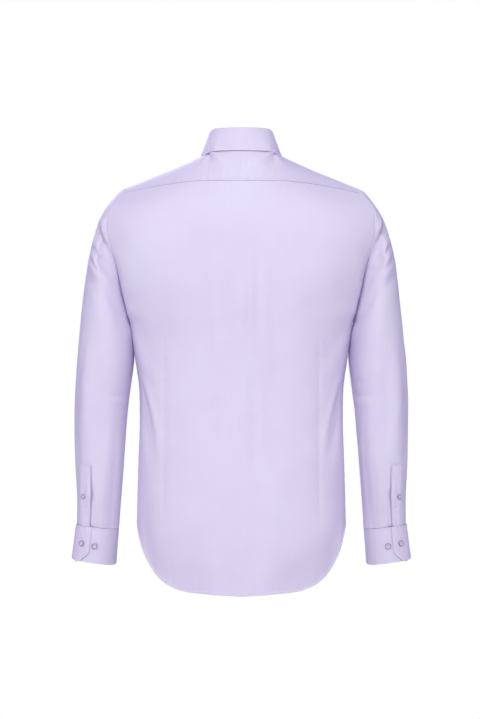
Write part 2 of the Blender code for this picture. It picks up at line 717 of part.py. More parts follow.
def button(name, at, out, size, material):
    """A turned button with a raised rim: at is the middle of its underside, out its axis."""
    radius, thick = BUTTON["radius"][size], BUTTON["thick"][size]
    profile = [
        (0.0, 0.0),
        (0.80 * radius, 0.0),
        (radius, 0.35 * thick),
        (0.85 * radius, thick),
        (0.60 * radius, 0.6 * thick),
        (0.0, 0.6 * thick),
    ]
    axis = np.asarray(out, float) / np.linalg.norm(out)
    side = unit(np.cross(axis, [0.0, 0.0, 1.0]))
    line = [mathutils.Vector((np.asarray(at) + side * r + axis * h) * MM) for r, h in profile]
    mesh = bmesh.new()
    points = [mesh.verts.new(p) for p in line]
    edges = [mesh.edges.new(pair) for pair in zip(points, points[1:])]
    bmesh.ops.spin(mesh, geom=points + edges, cent=mathutils.Vector(np.asarray(at) * MM),
                   axis=mathutils.Vector(axis), angle=2 * math.pi, steps=12, use_merge=True)
    bmesh.ops.remove_doubles(mesh, verts=mesh.verts, dist=1e-5)
    bmesh.ops.recalc_face_normals(mesh, faces=mesh.faces)
    return finish(name, mesh, material)


# ---- finishes --------------------------------------------------------------------------------
def on_grid(grid, column, z):
    """The point of a grid's column at height z, and the outward direction of a front there."""
    line = grid[:, column]
    point = np.array([np.interp(z, line[:, 2], line[:, i]) for i in range(3)])
    above = np.array([np.interp(z + 10.0, line[:, 2], line[:, i]) for i in range(3)])
    rise = above - point
    return point, np.array([0.0, -rise[2], rise[1]])


def fastenings(over, placket, material):
    """Every button: down the front, at the throat, and on both sleeve ends."""
    seat = SEAM_GAP
    for i in range(FRONT_BUTTONS):
        at, out = on_grid(over, 1, FRONT_BUTTON_TOP_Z - i * FRONT_BUTTON_STEP)
        button(f"button_front_{i + 1}", at + unit(out) * seat, out, 0, material)
    at, out = stand_point(np.array(180.0), np.array(0.42))
    out = unit(out * STAND_HEIGHT + np.array([0.0, 0.0, STAND_LEAN]))
    button("button_collar", at + out * (BAND_WALL + LAP_GAP + seat), out, 0, material)
    middle = placket.shape[1] // 2
    places = [("placket", on_grid(placket, middle, PLACKET_BUTTON_Z)[0], PLACKET_FREE_EDGE + 19.0, seat, 1)]
    for name, turn, down, layer in (
        ("cuff", CUFF_BUTTON_TURN, 0.49, BAND_WALL + LAP_GAP + CUFF_LIFT),
        ("cuff_spare", CUFF_SPARE_TURN, 0.52, 0.0),
    ):
        at, _ = cuff_point(np.array(turn), np.array(down))
        places.append((name, at, turn, layer + seat, 0))
    for name, at, turn, layer, size in places:
        angle = math.radians(turn)
        out = np.array([-math.cos(angle), math.sin(angle), 0.0])
        spot = at + out * layer
        for side, way in (("left", 1.0), ("right", -1.0)):
            flip = np.array([way, 1.0, 1.0])
            button(f"button_{name}_{side}", spot * flip, out * flip, size, material)


def finish_of(name, colour, roughness):
    material = bpy.data.materials.new(name)
    material.use_nodes = True
    shader = material.node_tree.nodes["Principled BSDF"]
    shader.inputs["Base Color"].default_value = (*colour, 1.0)
    shader.inputs["Roughness"].default_value = roughness
    shader.inputs["Metallic"].default_value = 0.0
    return material


def mirrored(grid):
    """A grid of the left side for the right side, with its columns turned round."""
    return grid[:, ::-1] * np.array([-1.0, 1.0, 1.0])


# ---- the shirt -------------------------------------------------------------------------------
def main():
    for thing in list(bpy.data.objects):
        bpy.data.objects.remove(thing)
    cotton = finish_of("lavender cotton poplin", (0.70, 0.65, 0.84), 0.8)
    shell = finish_of("mauve resin", (0.42, 0.30, 0.45), 0.35)

    back = back_panel()
    yoke = both_halves(yoke_half())
    sleeve = sleeve_grid()
    left = front_panel()
    hole = armhole()
    hub = hole.mean(axis=0)
    radial = unit(hole - hub)
    top = ARM_ROWS + YOKE_ROWS

    # the folds move the outer points out or in, and fade out at the sewn edges
    panel_fade = fade_at_edges(back.shape[:2], rows_free=(True, False))
    normal = grid_normals(back, ring=False)
    back = back + normal * ((fold_height(back, BACK_FOLDS) + dart_height(back)) * panel_fade)[..., None]
    fade = fade_at_edges(left.shape[:2], rows_free=(True, False), columns_free=(True, False))
    front_normal = -grid_normals(left, ring=False)
    left = left + front_normal * (fold_height(left, FRONT_FOLDS) * fade)[..., None]
    behind = np.sin(np.radians(ring_turns())) > 0
    rise = np.where(behind, fold_height(sleeve, SLEEVE_BACK_FOLDS), fold_height(sleeve, SLEEVE_FRONT_FOLDS))
    rise = rise * fade_at_edges(sleeve.shape[:2], columns_free=(True, True), reach=1.0)
    rise = rise * np.abs(np.sin(np.radians(ring_turns()))) ** 0.5
    sleeve_normal = -grid_normals(sleeve, ring=True)
    sleeve = sleeve + sleeve_normal * rise[..., None]

    # one direction for the wall at a seam, shared by the pieces on both sides of it
    normals = {
        "back": grid_normals(back, ring=False),
        "yoke": grid_normals(yoke, ring=False),
        "left": -grid_normals(left, ring=False),
        "sleeve": -grid_normals(sleeve, ring=True),
    }
    mirror = np.array([-1.0, 1.0, 1.0])
    seam = unit(normals["back"][-1] + normals["yoke"][0])
    normals["back"][-1] = normals["yoke"][0] = seam
    cols = SEAM_COLUMNS + 1
    seam = unit(normals["left"][-1, -cols:] + normals["yoke"][-1, -cols:])
    normals["left"][-1, -cols:] = normals["yoke"][-1, -cols:] = seam
    normals["yoke"][-1, :cols] = seam[::-1] * mirror
    seam = unit(normals["left"][:LOW_ROWS, -1] + normals["back"][:LOW_ROWS, -1])
    normals["left"][:LOW_ROWS, -1] = normals["back"][:LOW_ROWS, -1] = seam
    normals["back"][:LOW_ROWS, 0] = seam * mirror
    normals["back"][LOW_ROWS:, -1] = radial[:ARM_ROWS + 1]
    normals["back"][LOW_ROWS:, 0] = radial[:ARM_ROWS + 1] * mirror
    normals["yoke"][:, -1] = radial[ARM_ROWS:top + 1]
    normals["yoke"][:, 0] = radial[ARM_ROWS:top + 1] * mirror
    normals["left"][LOW_ROWS:, -1] = np.concatenate([radial[:1], radial[:top - 1:-1]])
    normals["sleeve"][0] = radial

    back = inset(back, last_row=True, first_column=True, last_column=True)
    solid("back", back, back - normals["back"] * WALL, False, cotton)
    yoke = inset(yoke, first_row=True, last_row=True, first_column=True, last_column=True)
    solid("yoke", yoke, yoke - normals["yoke"] * WALL, False, cotton)

    # the left front laps over the right one, so it is lifted by a wall and a gap near its edge
    left = inset(left, last_row=True, last_column=True)
    past = FRONT_LAP + LAP_CLEAR
    lift = (WALL + LAP_GAP) * (1.0 - smooth_step(left[..., 0], past + 1.0, past + 14.0))
    level = unit(normals["left"] * np.array([1.0, 1.0, 0.0]))
    lift = lift / np.sum(level * normals["left"], axis=-1)
    over = left + level * lift[..., None]
    solid("front_left", over, over - normals["left"] * WALL, False, cotton)
    right, right_normal = mirrored(left), mirrored(normals["left"])
    solid("front_right", right, right - right_normal * WALL, False, cotton)

    sleeve = inset(sleeve, first_row=True)
    sleeve_inner = sleeve - normals["sleeve"] * WALL
    cuff, cuff_inner = cuff_grids()
    placket, placket_inner = placket_grids()
    for side, way in (("left", 1), ("right", -1)):
        turn_over = (lambda grid: grid) if way == 1 else mirrored
        solid(f"sleeve_{side}", turn_over(sleeve), turn_over(sleeve_inner), True, cotton)
        solid(f"cuff_{side}", turn_over(cuff), turn_over(cuff_inner), False, cotton)
        solid(f"sleeve_placket_{side}", turn_over(placket), turn_over(placket_inner), False, cotton)
    fastenings(over, placket, shell)
    outer, inner = stand_grids()
    solid("collar_stand", outer, inner, False, cotton)
    outer, inner = leaf_grids()
    solid("collar_fall", outer, inner, False, cotton)


main()
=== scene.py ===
# %% [markdown]
# # Men's long sleeve dress shirt
#
# A shirt of lavender cotton poplin, buttoned up and filled out as it is worn. The solids of the
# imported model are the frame: every piece here is a finer version of one of them and takes its
# place. A cloth simulation could find folds by itself, but not the ones that this shirt has. So
# each panel is a grid of points, worked out from the same sizes as its solid, and tables of
# creases put every fold where it belongs.

# %% The frame and the unit
import math

import bmesh
import bpy
import numpy as np
from mathutils import Matrix, Vector


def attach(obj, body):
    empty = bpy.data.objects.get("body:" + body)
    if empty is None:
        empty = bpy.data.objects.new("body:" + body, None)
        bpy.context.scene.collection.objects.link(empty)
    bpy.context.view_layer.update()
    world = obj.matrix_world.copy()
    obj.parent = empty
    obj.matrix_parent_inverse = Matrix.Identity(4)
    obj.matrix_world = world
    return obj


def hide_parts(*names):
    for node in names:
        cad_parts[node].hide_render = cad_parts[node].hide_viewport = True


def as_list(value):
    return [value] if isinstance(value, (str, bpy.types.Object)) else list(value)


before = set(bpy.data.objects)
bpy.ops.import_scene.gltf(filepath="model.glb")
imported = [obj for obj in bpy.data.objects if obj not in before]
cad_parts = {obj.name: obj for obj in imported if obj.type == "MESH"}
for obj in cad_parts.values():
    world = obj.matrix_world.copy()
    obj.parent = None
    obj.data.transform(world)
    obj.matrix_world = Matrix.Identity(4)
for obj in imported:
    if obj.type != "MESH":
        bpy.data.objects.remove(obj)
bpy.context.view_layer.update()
scene = bpy.context.scene
MM = 0.001
print("solids in the frame:", len(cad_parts))

# %% [markdown]
# ## Colours and nodes
#
# Dyed cotton, thread and resin each have one main colour with small variations. The colours are
# kept together as sRGB codes, and one function turns them into the linear values that shaders
# need. Another adds a shader node with its settings and links, so a material reads as a list of
# nodes.

# %% Colours, and the function that adds a node
CLOTH = "#dfdaea"
CLOTH_SHADE = "#d7d0e4"
# darker than the cloth: painted shade of the pits that the stitches sink into
THREAD_WITH_PAINTED_SHADE = "#c6bbdd"
BUTTON_RIM = "#8f7a9c"
# the pearl figure's colour, and the painted highlight inside the rim
BUTTON_PEARL_AND_HIGHLIGHT = "#e3cfe4"


def colour(code):
    """An sRGB hex colour as linear RGBA."""
    channels = [int(code[i:i + 2], 16) / 255 for i in (1, 3, 5)]
    return (*[c / 12.92 if c <= 0.04045 else ((c + 0.055) / 1.055) ** 2.4 for c in channels], 1.0)


def node(tree, kind, inputs=(), **settings):
    """Adds a shader node, sets its properties, and sets or links its inputs."""
    made = tree.nodes.new(kind)
    for name, value in settings.items():
        setattr(made, name, value)
    for name, value in dict(inputs).items():
        if isinstance(value, bpy.types.NodeSocket):
            tree.links.new(value, made.inputs[name])
        else:
            made.inputs[name].default_value = value
    return made


def new_material(name, shader_inputs):
    """A material with its node tree and its shader."""
    material = bpy.data.materials.new(name)
    material.use_nodes = True
    shader = material.node_tree.nodes["Principled BSDF"]
    for key, value in shader_inputs.items():
        shader.inputs[key].default_value = value
    return material, material.node_tree, shader


print("cloth colour, linear:", [round(c, 3) for c in colour(CLOTH)])

# %% [markdown]
# ## Cotton poplin
#
# Poplin is a plain weave of fine combed yarn: matt and smooth, with a soft sheen where fibres
# stand off its surface, and with slubs, which are thicker places in single yarns. A picture of
# cloth could be used, but it would repeat and have one fixed size. Wave and noise textures are
# drawn instead on each panel's own UV map, which counts millimetres of cloth, so the weave follows
# the grain of every panel. Collar, cuffs and plackets have an interlining, so they crumple less.

# %% The cloth's material
THREAD_PITCH = 0.42  # mm between weft threads; the real 0.2 is too fine to show, so it is coarser
WARP_SHARE = 0.75  # the warp threads lie closer
SLUB = 0.625  # mm across a slub
SLUB_STRETCH = (0.02, 1.1, 1.0), (0.9, 0.015, 1.0)  # long along the warp, and along the weft
TONE_SIZE = 111.1  # mm, of broad changes in tone
RIPPLE_SIZE = 29.41  # mm, of soft crumpling
WAVE_UNIT = 2 * math.pi / 20  # period of a wave texture of scale 1


def cloth_material(name, crumple):
    """Poplin: a weave, faint slubs, a slow change of tone, and crumpling of the given strength."""
    material, tree, shader = new_material(name, {
        "Roughness": 0.72, "Sheen Weight": 0.35, "Sheen Roughness": 0.45,
        "Sheen Tint": colour("#b5a2ff"), "Specular IOR Level": 0.28})
    place = node(tree, "ShaderNodeTexCoord")
    cloth, room = place.outputs["UV"], place.outputs["Object"]
    threads, slubs = [], []
    for direction, pitch in (("X", THREAD_PITCH * WARP_SHARE), ("Y", THREAD_PITCH)):
        wave = node(tree, "ShaderNodeTexWave", {"Vector": cloth, "Scale": WAVE_UNIT / pitch / 2},
                    wave_type="BANDS", bands_direction=direction)
        threads.append(node(tree, "ShaderNodeMath", {0: wave.outputs["Fac"], 1: 0.5},
                            operation="SUBTRACT").outputs[0])
    weave = node(tree, "ShaderNodeMath", {0: threads[0], 1: threads[1]}, operation="MULTIPLY")
    for stretch in SLUB_STRETCH:
        drawn = node(tree, "ShaderNodeMapping", {"Vector": cloth, "Scale": stretch})
        slubs.append(node(tree, "ShaderNodeTexNoise", {
            "Vector": drawn.outputs[0], "Scale": 1 / SLUB, "Detail": 2.0}).outputs[0])
    slub = node(tree, "ShaderNodeMath", {0: slubs[0], 1: slubs[1]}, operation="ADD")
    broad, ripple = (node(tree, "ShaderNodeTexNoise", {
        "Vector": room, "Scale": 1 / (size * MM), "Detail": detail, "Roughness": rough}).outputs[0]
        for size, detail, rough in ((TONE_SIZE, 4.0, 0.5), (RIPPLE_SIZE, 5.0, 0.55)))
    tone = node(tree, "ShaderNodeMath", {0: slub.outputs[0], 1: 0.35, 2: broad},
                operation="MULTIPLY_ADD")
    span = node(tree, "ShaderNodeMapRange", {
        "Value": tone.outputs[0], "From Min": 0.6, "From Max": 1.15, "To Min": 0.0, "To Max": 1.0})
    mix = node(tree, "ShaderNodeMix", {"Factor": span.outputs[0], "A": colour(CLOTH),
                                       "B": colour(CLOTH_SHADE)}, data_type="RGBA")
    tree.links.new(mix.outputs["Result"], shader.inputs["Base Color"])
    bump = None
    for height, depth, strength in ((weave.outputs[0], 0.3, 0.6), (slub.outputs[0], 0.25, 0.5),
                                    (ripple, 1.6, crumple)):
        under = {"Normal": bump.outputs[0]} if bump else {}
        bump = node(tree, "ShaderNodeBump", {"Height": height, "Distance": depth * MM,
                                             "Strength": strength, **under})
    tree.links.new(bump.outputs[0], shader.inputs["Normal"])
    return material


cotton = cloth_material("lavender poplin", 0.22)
crisp = cloth_material("lavender poplin, interlined", 0.10)
print("cloth:", cotton.name, "and", crisp.name)

# %% [markdown]
# ## Sewing thread and button resin
#
# The thread is spun polyester. Its colour is darker than the cloth as painted shade for the pits
# that the stitches sink into, so a row of stitches shows as a fine line. At that size a few specks
# are enough for its plies. The buttons are turned from polished mauve resin with a pearly figure in
# it. A picture of resin would show the same figure on every button, so a noise that another noise
# bends gives the cloudy grain, and a clear coat gives the hard shine. Inside the rim the colour is
# painted paler as a highlight, which follows an attribute with each point's distance from the
# middle.

# %% The thread's and the buttons' materials
SPECKS = 0.6667  # mm, coarser than the plies, which are too fine to show
GRAIN_BEND, GRAIN = 6.25, 2.381  # mm, of the figure in the resin


def thread_material():
    """Spun polyester: soft, with a slight sheen and fine specks."""
    material, tree, shader = new_material("sewing thread", {
        "Roughness": 0.5, "Sheen Weight": 0.4, "Sheen Tint": colour("#ffffff")})
    room = node(tree, "ShaderNodeTexCoord").outputs["Object"]
    specks = node(tree, "ShaderNodeTexNoise", {
        "Vector": room, "Scale": 1 / (SPECKS * MM), "Detail": 1.0})
    mix = node(tree, "ShaderNodeMix", {"Factor": specks.outputs[0], "A": colour(THREAD_WITH_PAINTED_SHADE),
                                       "B": colour(CLOTH)}, data_type="RGBA")
    tree.links.new(mix.outputs["Result"], shader.inputs["Base Color"])
    return material


def button_material():
    """Polished resin with a pearly figure, and a painted highlight inside the rim."""
    material, tree, shader = new_material("mauve resin", {
        "Roughness": 0.28, "Coat Weight": 0.6, "Coat Roughness": 0.08, "Coat IOR": 1.5})
    room = node(tree, "ShaderNodeTexCoord").outputs["Object"]
    cloud = node(tree, "ShaderNodeTexNoise", {
        "Vector": room, "Scale": 1 / (GRAIN_BEND * MM), "Detail": 2.0})
    bent = node(tree, "ShaderNodeVectorMath", {0: room, 1: cloud.outputs[0]}, operation="ADD")
    figure = node(tree, "ShaderNodeTexNoise", {
        "Vector": bent.outputs[0], "Scale": 1 / (GRAIN * MM), "Detail": 4.0,
        "Roughness": 0.6}).outputs[0]
    from_middle = node(tree, "ShaderNodeAttribute", attribute_name="from_middle").outputs["Fac"]
    # painted highlight: the colour turns paler inside the rim, by distance from the middle
    painted_highlight = node(tree, "ShaderNodeMapRange", {"Value": from_middle, "From Min": 0.74,
                                               "From Max": 0.52, "To Min": 0.0, "To Max": 0.75})
    pearl = node(tree, "ShaderNodeMath", {0: figure, 1: 0.4, 2: painted_highlight.outputs["Result"]},
                 operation="MULTIPLY_ADD")
    mix = node(tree, "ShaderNodeMix", {"Factor": pearl.outputs[0], "A": colour(BUTTON_RIM),
                                       "B": colour(BUTTON_PEARL_AND_HIGHLIGHT)}, data_type="RGBA")
    tree.links.new(mix.outputs["Result"], shader.inputs["Base Color"])
    fine = node(tree, "ShaderNodeBump", {"Height": figure, "Distance": 0.06 * MM, "Strength": 0.25})
    tree.links.new(fine.outputs[0], shader.inputs["Normal"])
    return material


sewing, resin = thread_material(), button_material()
print("thread:", sewing.name, "buttons:", resin.name)

# %% [markdown]
# ## Tables and curves
#
# A shirt that is worn has no straight line in it. Its sizes are kept in tables, measured at a few
# heights or angles, and smooth curves fill in between. Blender's own curves could do that, but here
# many thousands of points have to be read off at exact places, so a cubic in numpy is quicker.

# %% Reading smooth curves off tables
def table(names, *rows):
    """A small table with named columns, each column as an array."""
    return {name: np.array([row[i] for row in rows], float) for i, name in enumerate(names.split())}


def hermite(p0, p1, m0, m1, t):
    """Cubic from p0 to p1 that leaves along m0 and arrives along m1."""
    return (p0 * (2 * t**3 - 3 * t**2 + 1) + m0 * (t**3 - 2 * t**2 + t)
            + p1 * (3 * t**2 - 2 * t**3) + m1 * (t**3 - t**2))


def through(xs, ys, x, level=False):
    """Smooth curve through the points (xs, ys), read at x. A level one never passes beyond them."""
    xs, ys = np.asarray(xs, float), np.asarray(ys, float)
    step = np.diff(xs)
    slope = (np.diff(ys, axis=0).T / step).T
    weight = step[1:] / (step[1:] + step[:-1])
    middle = (slope[:-1].T * weight + slope[1:].T * (1 - weight)).T
    if level:
        least = np.minimum(np.abs(slope[:-1]), np.abs(slope[1:]))
        middle = np.clip(middle, -3 * least, 3 * least) * (slope[:-1] * slope[1:] > 0)
    lean = np.concatenate([slope[:1], middle, slope[-1:]])
    x = np.clip(x, xs[0], xs[-1])
    i = np.clip(np.searchsorted(xs, x, side="right") - 1, 0, len(step) - 1)
    t = np.asarray((x - xs[i]) / step[i])
    wide = t.shape + (1,) * (ys.ndim - 1)
    t, width = t.reshape(wide), step[i].reshape(wide)
    return hermite(ys[i], ys[i + 1], lean[i] * width, lean[i + 1] * width, t)


def read(rows, key, at):
    """Every column of a table at one or more values of its column `key`."""
    return {name: through(rows[key], rows[name], at, level=True) for name in rows if name != key}


def smooth_step(x, start, end):
    """0 up to start, 1 from end on, and an S-shaped curve between."""
    t = np.clip((x - start) / (end - start), 0.0, 1.0)
    return t * t * (3 - 2 * t)


def hill(x, start, full, fade, end):
    """1 from full to fade, and down to 0 at start and at end."""
    return smooth_step(x, start, full) * (1.0 - smooth_step(x, fade, end))


def unit(vectors):
    """The vectors, one long."""
    return vectors / np.linalg.norm(vectors, axis=-1, keepdims=True)


print("a hill from 0 to 4 over a side of 1, at 0.5:", hill(0.5, 0.0, 1.0, 3.0, 4.0))

# %% [markdown]
# ## The body's form
#
# A worn shirt's body is a tube round the chest that opens into two arms and a neck. It could be
# sculpted, but level sections keep it true to the tape. Each half of a section is one curve from
# the centre line to its end, at the side seam or, above the underarm, at the armhole. turn is the
# angle in degrees that the cloth has turned from straight across when it gets there. All sizes are
# in millimetres, with x to the wearer's left, y to the back and z up.

# %% Sections of the torso
WALL = 1.2  # body, yoke and sleeve cloth with its turnings
BAND_WALL = 1.6  # collar, cuffs and plackets: two layers and an interlining
SEAM_GAP = 0.35  # between two pieces that are sewn together
LAP_GAP = 0.4  # between two layers that lie on each other
ROUNDNESS = 0.72  # how full a level section is between its ends

# Below the underarm the back and the front end at the same side seam
SIDES = table(
    "z back front end_x",
    (-770, 104, -114, 182), (-700, 107, -114, 182.5), (-609, 109, -113, 182),
    (-520, 104, -111, 179.5), (-457, 98, -110, 177.5), (-400, 96, -112, 178.5),
    (-352, 98, -116, 185), (-315, 101, -118, 190), (-283, 103, -119, 195))
SECTION = "z centre_y end_x end_y turn"


def sections(side, *above):
    """The table of the back or the front; its rows above the yoke's seam only carry it on."""
    rows = [(z, middle, end_x, 0, 90)
            for z, middle, end_x in zip(SIDES["z"], SIDES[side], SIDES["end_x"])]
    return table(SECTION, *rows, *above)


BACK = sections(
    "back", (-262, 104, 198.5, 20, 77), (-238, 105, 205.5, 34, 67), (-196, 106, 214.5, 45, 57),
    (-160, 106, 225.5, 48, 48), (-118, 104, 232, 44, 39), (-88, 99, 229, 36, 33),
    (-59, 91, 206, 20, 29), (-30, 80, 184, -2, 26))
FRONT = sections(
    "front", (-262, -119, 197, -20, 77), (-238, -119, 199, -34, 67), (-196, -116, 202, -45, 57),
    (-160, -110, 206, -48, 48), (-118, -98, 211, -45, 39), (-90, -86, 213.5, -38, 32),
    (-66, -75, 212, -27, 27), (-40, -60, 206, -8, 25), (-12, -44, 190, 24, 24))


def torso(section, across, z):
    """Points on a level section: across runs from -1, the right end, through 0 to 1, the left end,
    in equal lengths of cloth."""
    across, z = np.broadcast_arrays(np.asarray(across, float), np.asarray(z, float))
    row = read(section, "z", z)
    turn = np.radians(row["turn"])
    depth = row["end_y"] - row["centre_y"]
    full = 1.0 + ROUNDNESS * turn / (math.pi / 2)
    reach = full * (np.cos(turn) * row["end_x"] + np.sin(turn) * np.abs(depth))
    steps = np.linspace(0.0, 1.0, 33)
    x = hermite(0.0, row["end_x"][..., None], (full * row["end_x"])[..., None],
                (np.cos(turn) * reach)[..., None], steps)
    y = hermite(row["centre_y"][..., None], row["end_y"][..., None], 0.0,
                (np.sin(turn) * reach * np.sign(depth))[..., None], steps)
    length = np.cumsum(np.hypot(np.diff(x, axis=-1), np.diff(y, axis=-1)), axis=-1)
    length = np.insert(length, 0, 0.0, axis=-1)
    wanted = np.abs(across) * length[..., -1]
    i = np.clip((length <= wanted[..., None]).sum(axis=-1) - 1, 0, len(steps) - 2)[..., None]
    before, after = np.take_along_axis(length, i, -1), np.take_along_axis(length, i + 1, -1)
    part = (wanted[..., None] - before) / (after - before)

    def between(values):
        low, high = np.take_along_axis(values, i, -1), np.take_along_axis(values, i + 1, -1)
        return (low + (high - low) * part)[..., 0]

    return np.stack([between(x) * np.sign(across), between(y), z], axis=-1)


chest = torso(BACK, np.linspace(-1, 1, 99), -283.0)
width = np.linalg.norm(np.diff(chest, axis=0), axis=1).sum()
print("back's width at the underarm, mm:", round(width))

# %% [markdown]
# ## Hem, yoke seams and neck
#
# The shirttail's hem dips behind and in front, and rises at the side seams. The yoke is the panel
# over both shoulders. Its back seam is level and falls a little towards the armholes, its front
# seams lie before the shoulders. The neck seam is a tilted oval, lower in front, with a slight
# saddle over the shoulders. Bezier curves drawn by hand could give all of these, but with a few
# sizes and cosines each seam can be read at any place, as both of its panels need it.

# %% The seams as curves
UNDERARM_Z = -283.0
SIDE_HEM_Z = -635.0
# how far round from the centre line (0) to the side seam (1), and how far down from the side seam's
# end (0) to the lowest point (1)
TAIL = table(
    "round down",
    (0.00, 1.000), (0.25, 0.972), (0.48, 0.922), (0.60, 0.825), (0.69, 0.690), (0.76, 0.540),
    (0.82, 0.375), (0.88, 0.190), (0.94, 0.050), (1.00, 0.000))
BACK_TAIL, FRONT_TAIL = 119.8, 98.0  # lowest point of the tail under the side seam's end

YOKE_SEAM_Z = -41.4  # back seam of the yoke, level as far as YOKE_LEVEL_X
YOKE_LEVEL_X, ARMHOLE_TOP_X = 72.0, 206.0
YOKE_SEAM_DROP = 18.0  # its fall from there to the armhole
FRONT_SEAM_DROP = 50.0  # front seam of the yoke: its fall from the neck to the armhole
FRONT_SEAM_BOW = np.array([0.0, -7.0, 0.0])

NECK_HALF_WIDTH = 63.0
NECK_BACK_Y, NECK_FRONT_Y = 58.0, -68.0
NECK_BACK_Z, NECK_SIDE_Z, NECK_FRONT_Z = 14.0, 7.0, -52.0
NECK_CORNER_TURN = 115.0  # degrees round the neck from centre back to the front seam of the yoke


def tail_z(across, tail):
    """Height of the hem at a place across."""
    return SIDE_HEM_Z - tail * read(TAIL, "round", np.abs(across))["down"]


def neck_point(turn):
    """The neck seam, turn degrees round from centre back to the wearer's left."""
    angle = np.radians(turn)
    middle_y = (NECK_BACK_Y + NECK_FRONT_Y) / 2
    mean = (NECK_BACK_Z + NECK_FRONT_Z + 2 * NECK_SIDE_Z) / 4
    dip = (NECK_BACK_Z + NECK_FRONT_Z - 2 * NECK_SIDE_Z) / 4
    z = mean + (NECK_BACK_Z - NECK_FRONT_Z) / 2 * np.cos(angle) + dip * np.cos(2 * angle)
    return np.stack([NECK_HALF_WIDTH * np.sin(angle),
                     middle_y + (NECK_BACK_Y - middle_y) * np.cos(angle), z], axis=-1)


def back_seam(across):
    """The yoke's back seam, on the torso's back sections, found by settling on its height."""
    z = np.full(np.shape(across), YOKE_SEAM_Z)
    for _ in range(20):
        x = np.abs(torso(BACK, across, z)[..., 0])
        past = np.clip((x - YOKE_LEVEL_X) / (ARMHOLE_TOP_X - YOKE_LEVEL_X), 0.0, None)
        z = YOKE_SEAM_Z - YOKE_SEAM_DROP * past**1.6
    return torso(BACK, across, z)


def front_seam(part):
    """The yoke's front seam, from the neck (0) to the armhole (1)."""
    neck = neck_point(NECK_CORNER_TURN)
    arm = torso(FRONT, 1.0, neck[2] - FRONT_SEAM_DROP)
    part = np.asarray(part, float)[..., None]
    return neck + (arm - neck) * part + FRONT_SEAM_BOW * np.sin(math.pi * part)


print("back seam's end at the armhole, mm:", back_seam(1.0).round(1))

# %% [markdown]
# ## Panels as grids
#
# A tailor cuts the body from four panels: the back, the yoke and two fronts. Each becomes a grid
# whose rows run up the cloth and whose columns run across it. Subdividing the solids would keep
# their facets, so the grids are worked out anew, with FINE lines for each one of the solids.
# Neighbours get the same points along their seam, and so they meet exactly.

# %% Where the lines of a panel lie
FINE = 6
NECK_COLUMNS = 5 * FINE  # from centre back to the corner at the neck, and as many on each front
SEAM_COLUMNS = 8 * FINE  # from that corner to the armhole
LOW_ROWS = 15 * FINE  # from the hem to the underarm
ARM_ROWS = 8 * FINE  # from the underarm to the yoke, on the back and on the front
YOKE_ROWS = 6 * FINE
NECK_SHARE = 0.30  # share of the half back seam that lies below the neck
NECK = np.linspace(0.0, NECK_SHARE, NECK_COLUMNS + 1)
HALF = np.concatenate([NECK, np.linspace(NECK_SHARE, 1.0, SEAM_COLUMNS + 1)[1:]])
PAST_CORNER = (HALF[NECK_COLUMNS + 1:] - NECK_SHARE) / (1.0 - NECK_SHARE)  # share of a front seam


def rows_up(top_z):
    """Rows from hem to top as shares of the height, with one at the underarm."""
    underarm = (UNDERARM_Z - SIDE_HEM_Z) / (top_z - SIDE_HEM_Z)
    low = np.linspace(0.0, underarm, LOW_ROWS + 1)
    arm = underarm + (1.0 - underarm) * np.linspace(0.0, 1.0, ARM_ROWS + 1) ** 1.25
    return np.concatenate([low, arm[1:]])[:, None]


def mirrored(grid):
    """A grid of the left side for the right side, with its columns turned round."""
    return grid[:, ::-1] * np.array([-1.0, 1.0, 1.0])


def back_panel():
    """Grid of the back: rows from hem to yoke, columns from right to left."""
    across = np.concatenate([-HALF[:0:-1], HALF])
    hem = tail_z(across, BACK_TAIL)
    top = back_seam(across)[:, 2]
    return torso(BACK, across, hem + (top - hem) * rows_up(top[-1]))


print("back panel, rows by columns:", back_panel().shape[:2])

# %% [markdown]
# Each front goes past the centre line, and the left one laps over the right one. A column follows
# the lower front's edge, so that the upper one can step down beside it. The top is drawn over to
# the neck and to the yoke's seam, with a blend that starts at the chest, so no kink shows.

# %% The fronts
FRONT_LAP = 17.5  # each front goes this far past the centre line
LAP_CLEAR = 4.0  # the upper front stays lifted this far past the lower one's edge
FRONT_HALF_WIDTH = 240.0  # half a section of the front, along the cloth


def front_neck():
    """Places of a front's columns at the neck seam: their share across, and their angle round the
    neck, from the lapped edge to the corner."""
    past = FRONT_LAP + LAP_CLEAR
    lapped = np.concatenate([np.linspace(-FRONT_LAP, 0.0, FINE + 1),
                             np.linspace(0.0, past, FINE + 1)[1:]])
    beyond = NECK_COLUMNS - 2 * FINE + 1
    x = np.concatenate([lapped, np.linspace(past, neck_point(NECK_CORNER_TURN)[0], beyond)[1:]])
    share = np.linspace(past / FRONT_HALF_WIDTH, NECK_SHARE, beyond)[1:]
    return (np.concatenate([lapped / FRONT_HALF_WIDTH, share]),
            180.0 - np.degrees(np.arcsin(x / NECK_HALF_WIDTH)))


def front_panel():
    """Grid of the left front: rows from hem to top, columns from the lap to the side."""
    on_neck, turns = front_neck()
    across = np.concatenate([on_neck, HALF[NECK_COLUMNS + 1:]])
    top = np.concatenate([neck_point(turns), front_seam(PAST_CORNER)])
    hem = tail_z(across, FRONT_TAIL)
    share = rows_up(top[-1, 2])
    grid = torso(FRONT, across, hem + (top[:, 2] - hem) * share)
    grid[:, across < 0, 0] = -np.abs(grid[:, across < 0, 0])
    return grid + (top - grid[-1]) * smooth_step(share, 0.62, 1.0)[..., None]


print("front panel, rows by columns:", front_panel().shape[:2])

# %% [markdown]
# The yoke spans from the back's seam over the shoulder to the neck and the front seams. Every
# column is one cubic that leaves along the back's slope. It climbs towards the collar at centre
# back, and falls where it meets the fronts.

# %% The yoke
YOKE_NECK_CLIMB = 62.0  # degrees that the yoke rises where it meets the collar at centre back
YOKE_FALL = 40.0  # degrees that it falls where it meets the fronts
YOKE_SWELL = [0.0, NECK_SHARE, 0.6, 1.0], [1.15, 1.76, 1.50, 1.3]  # fullness, back to arm


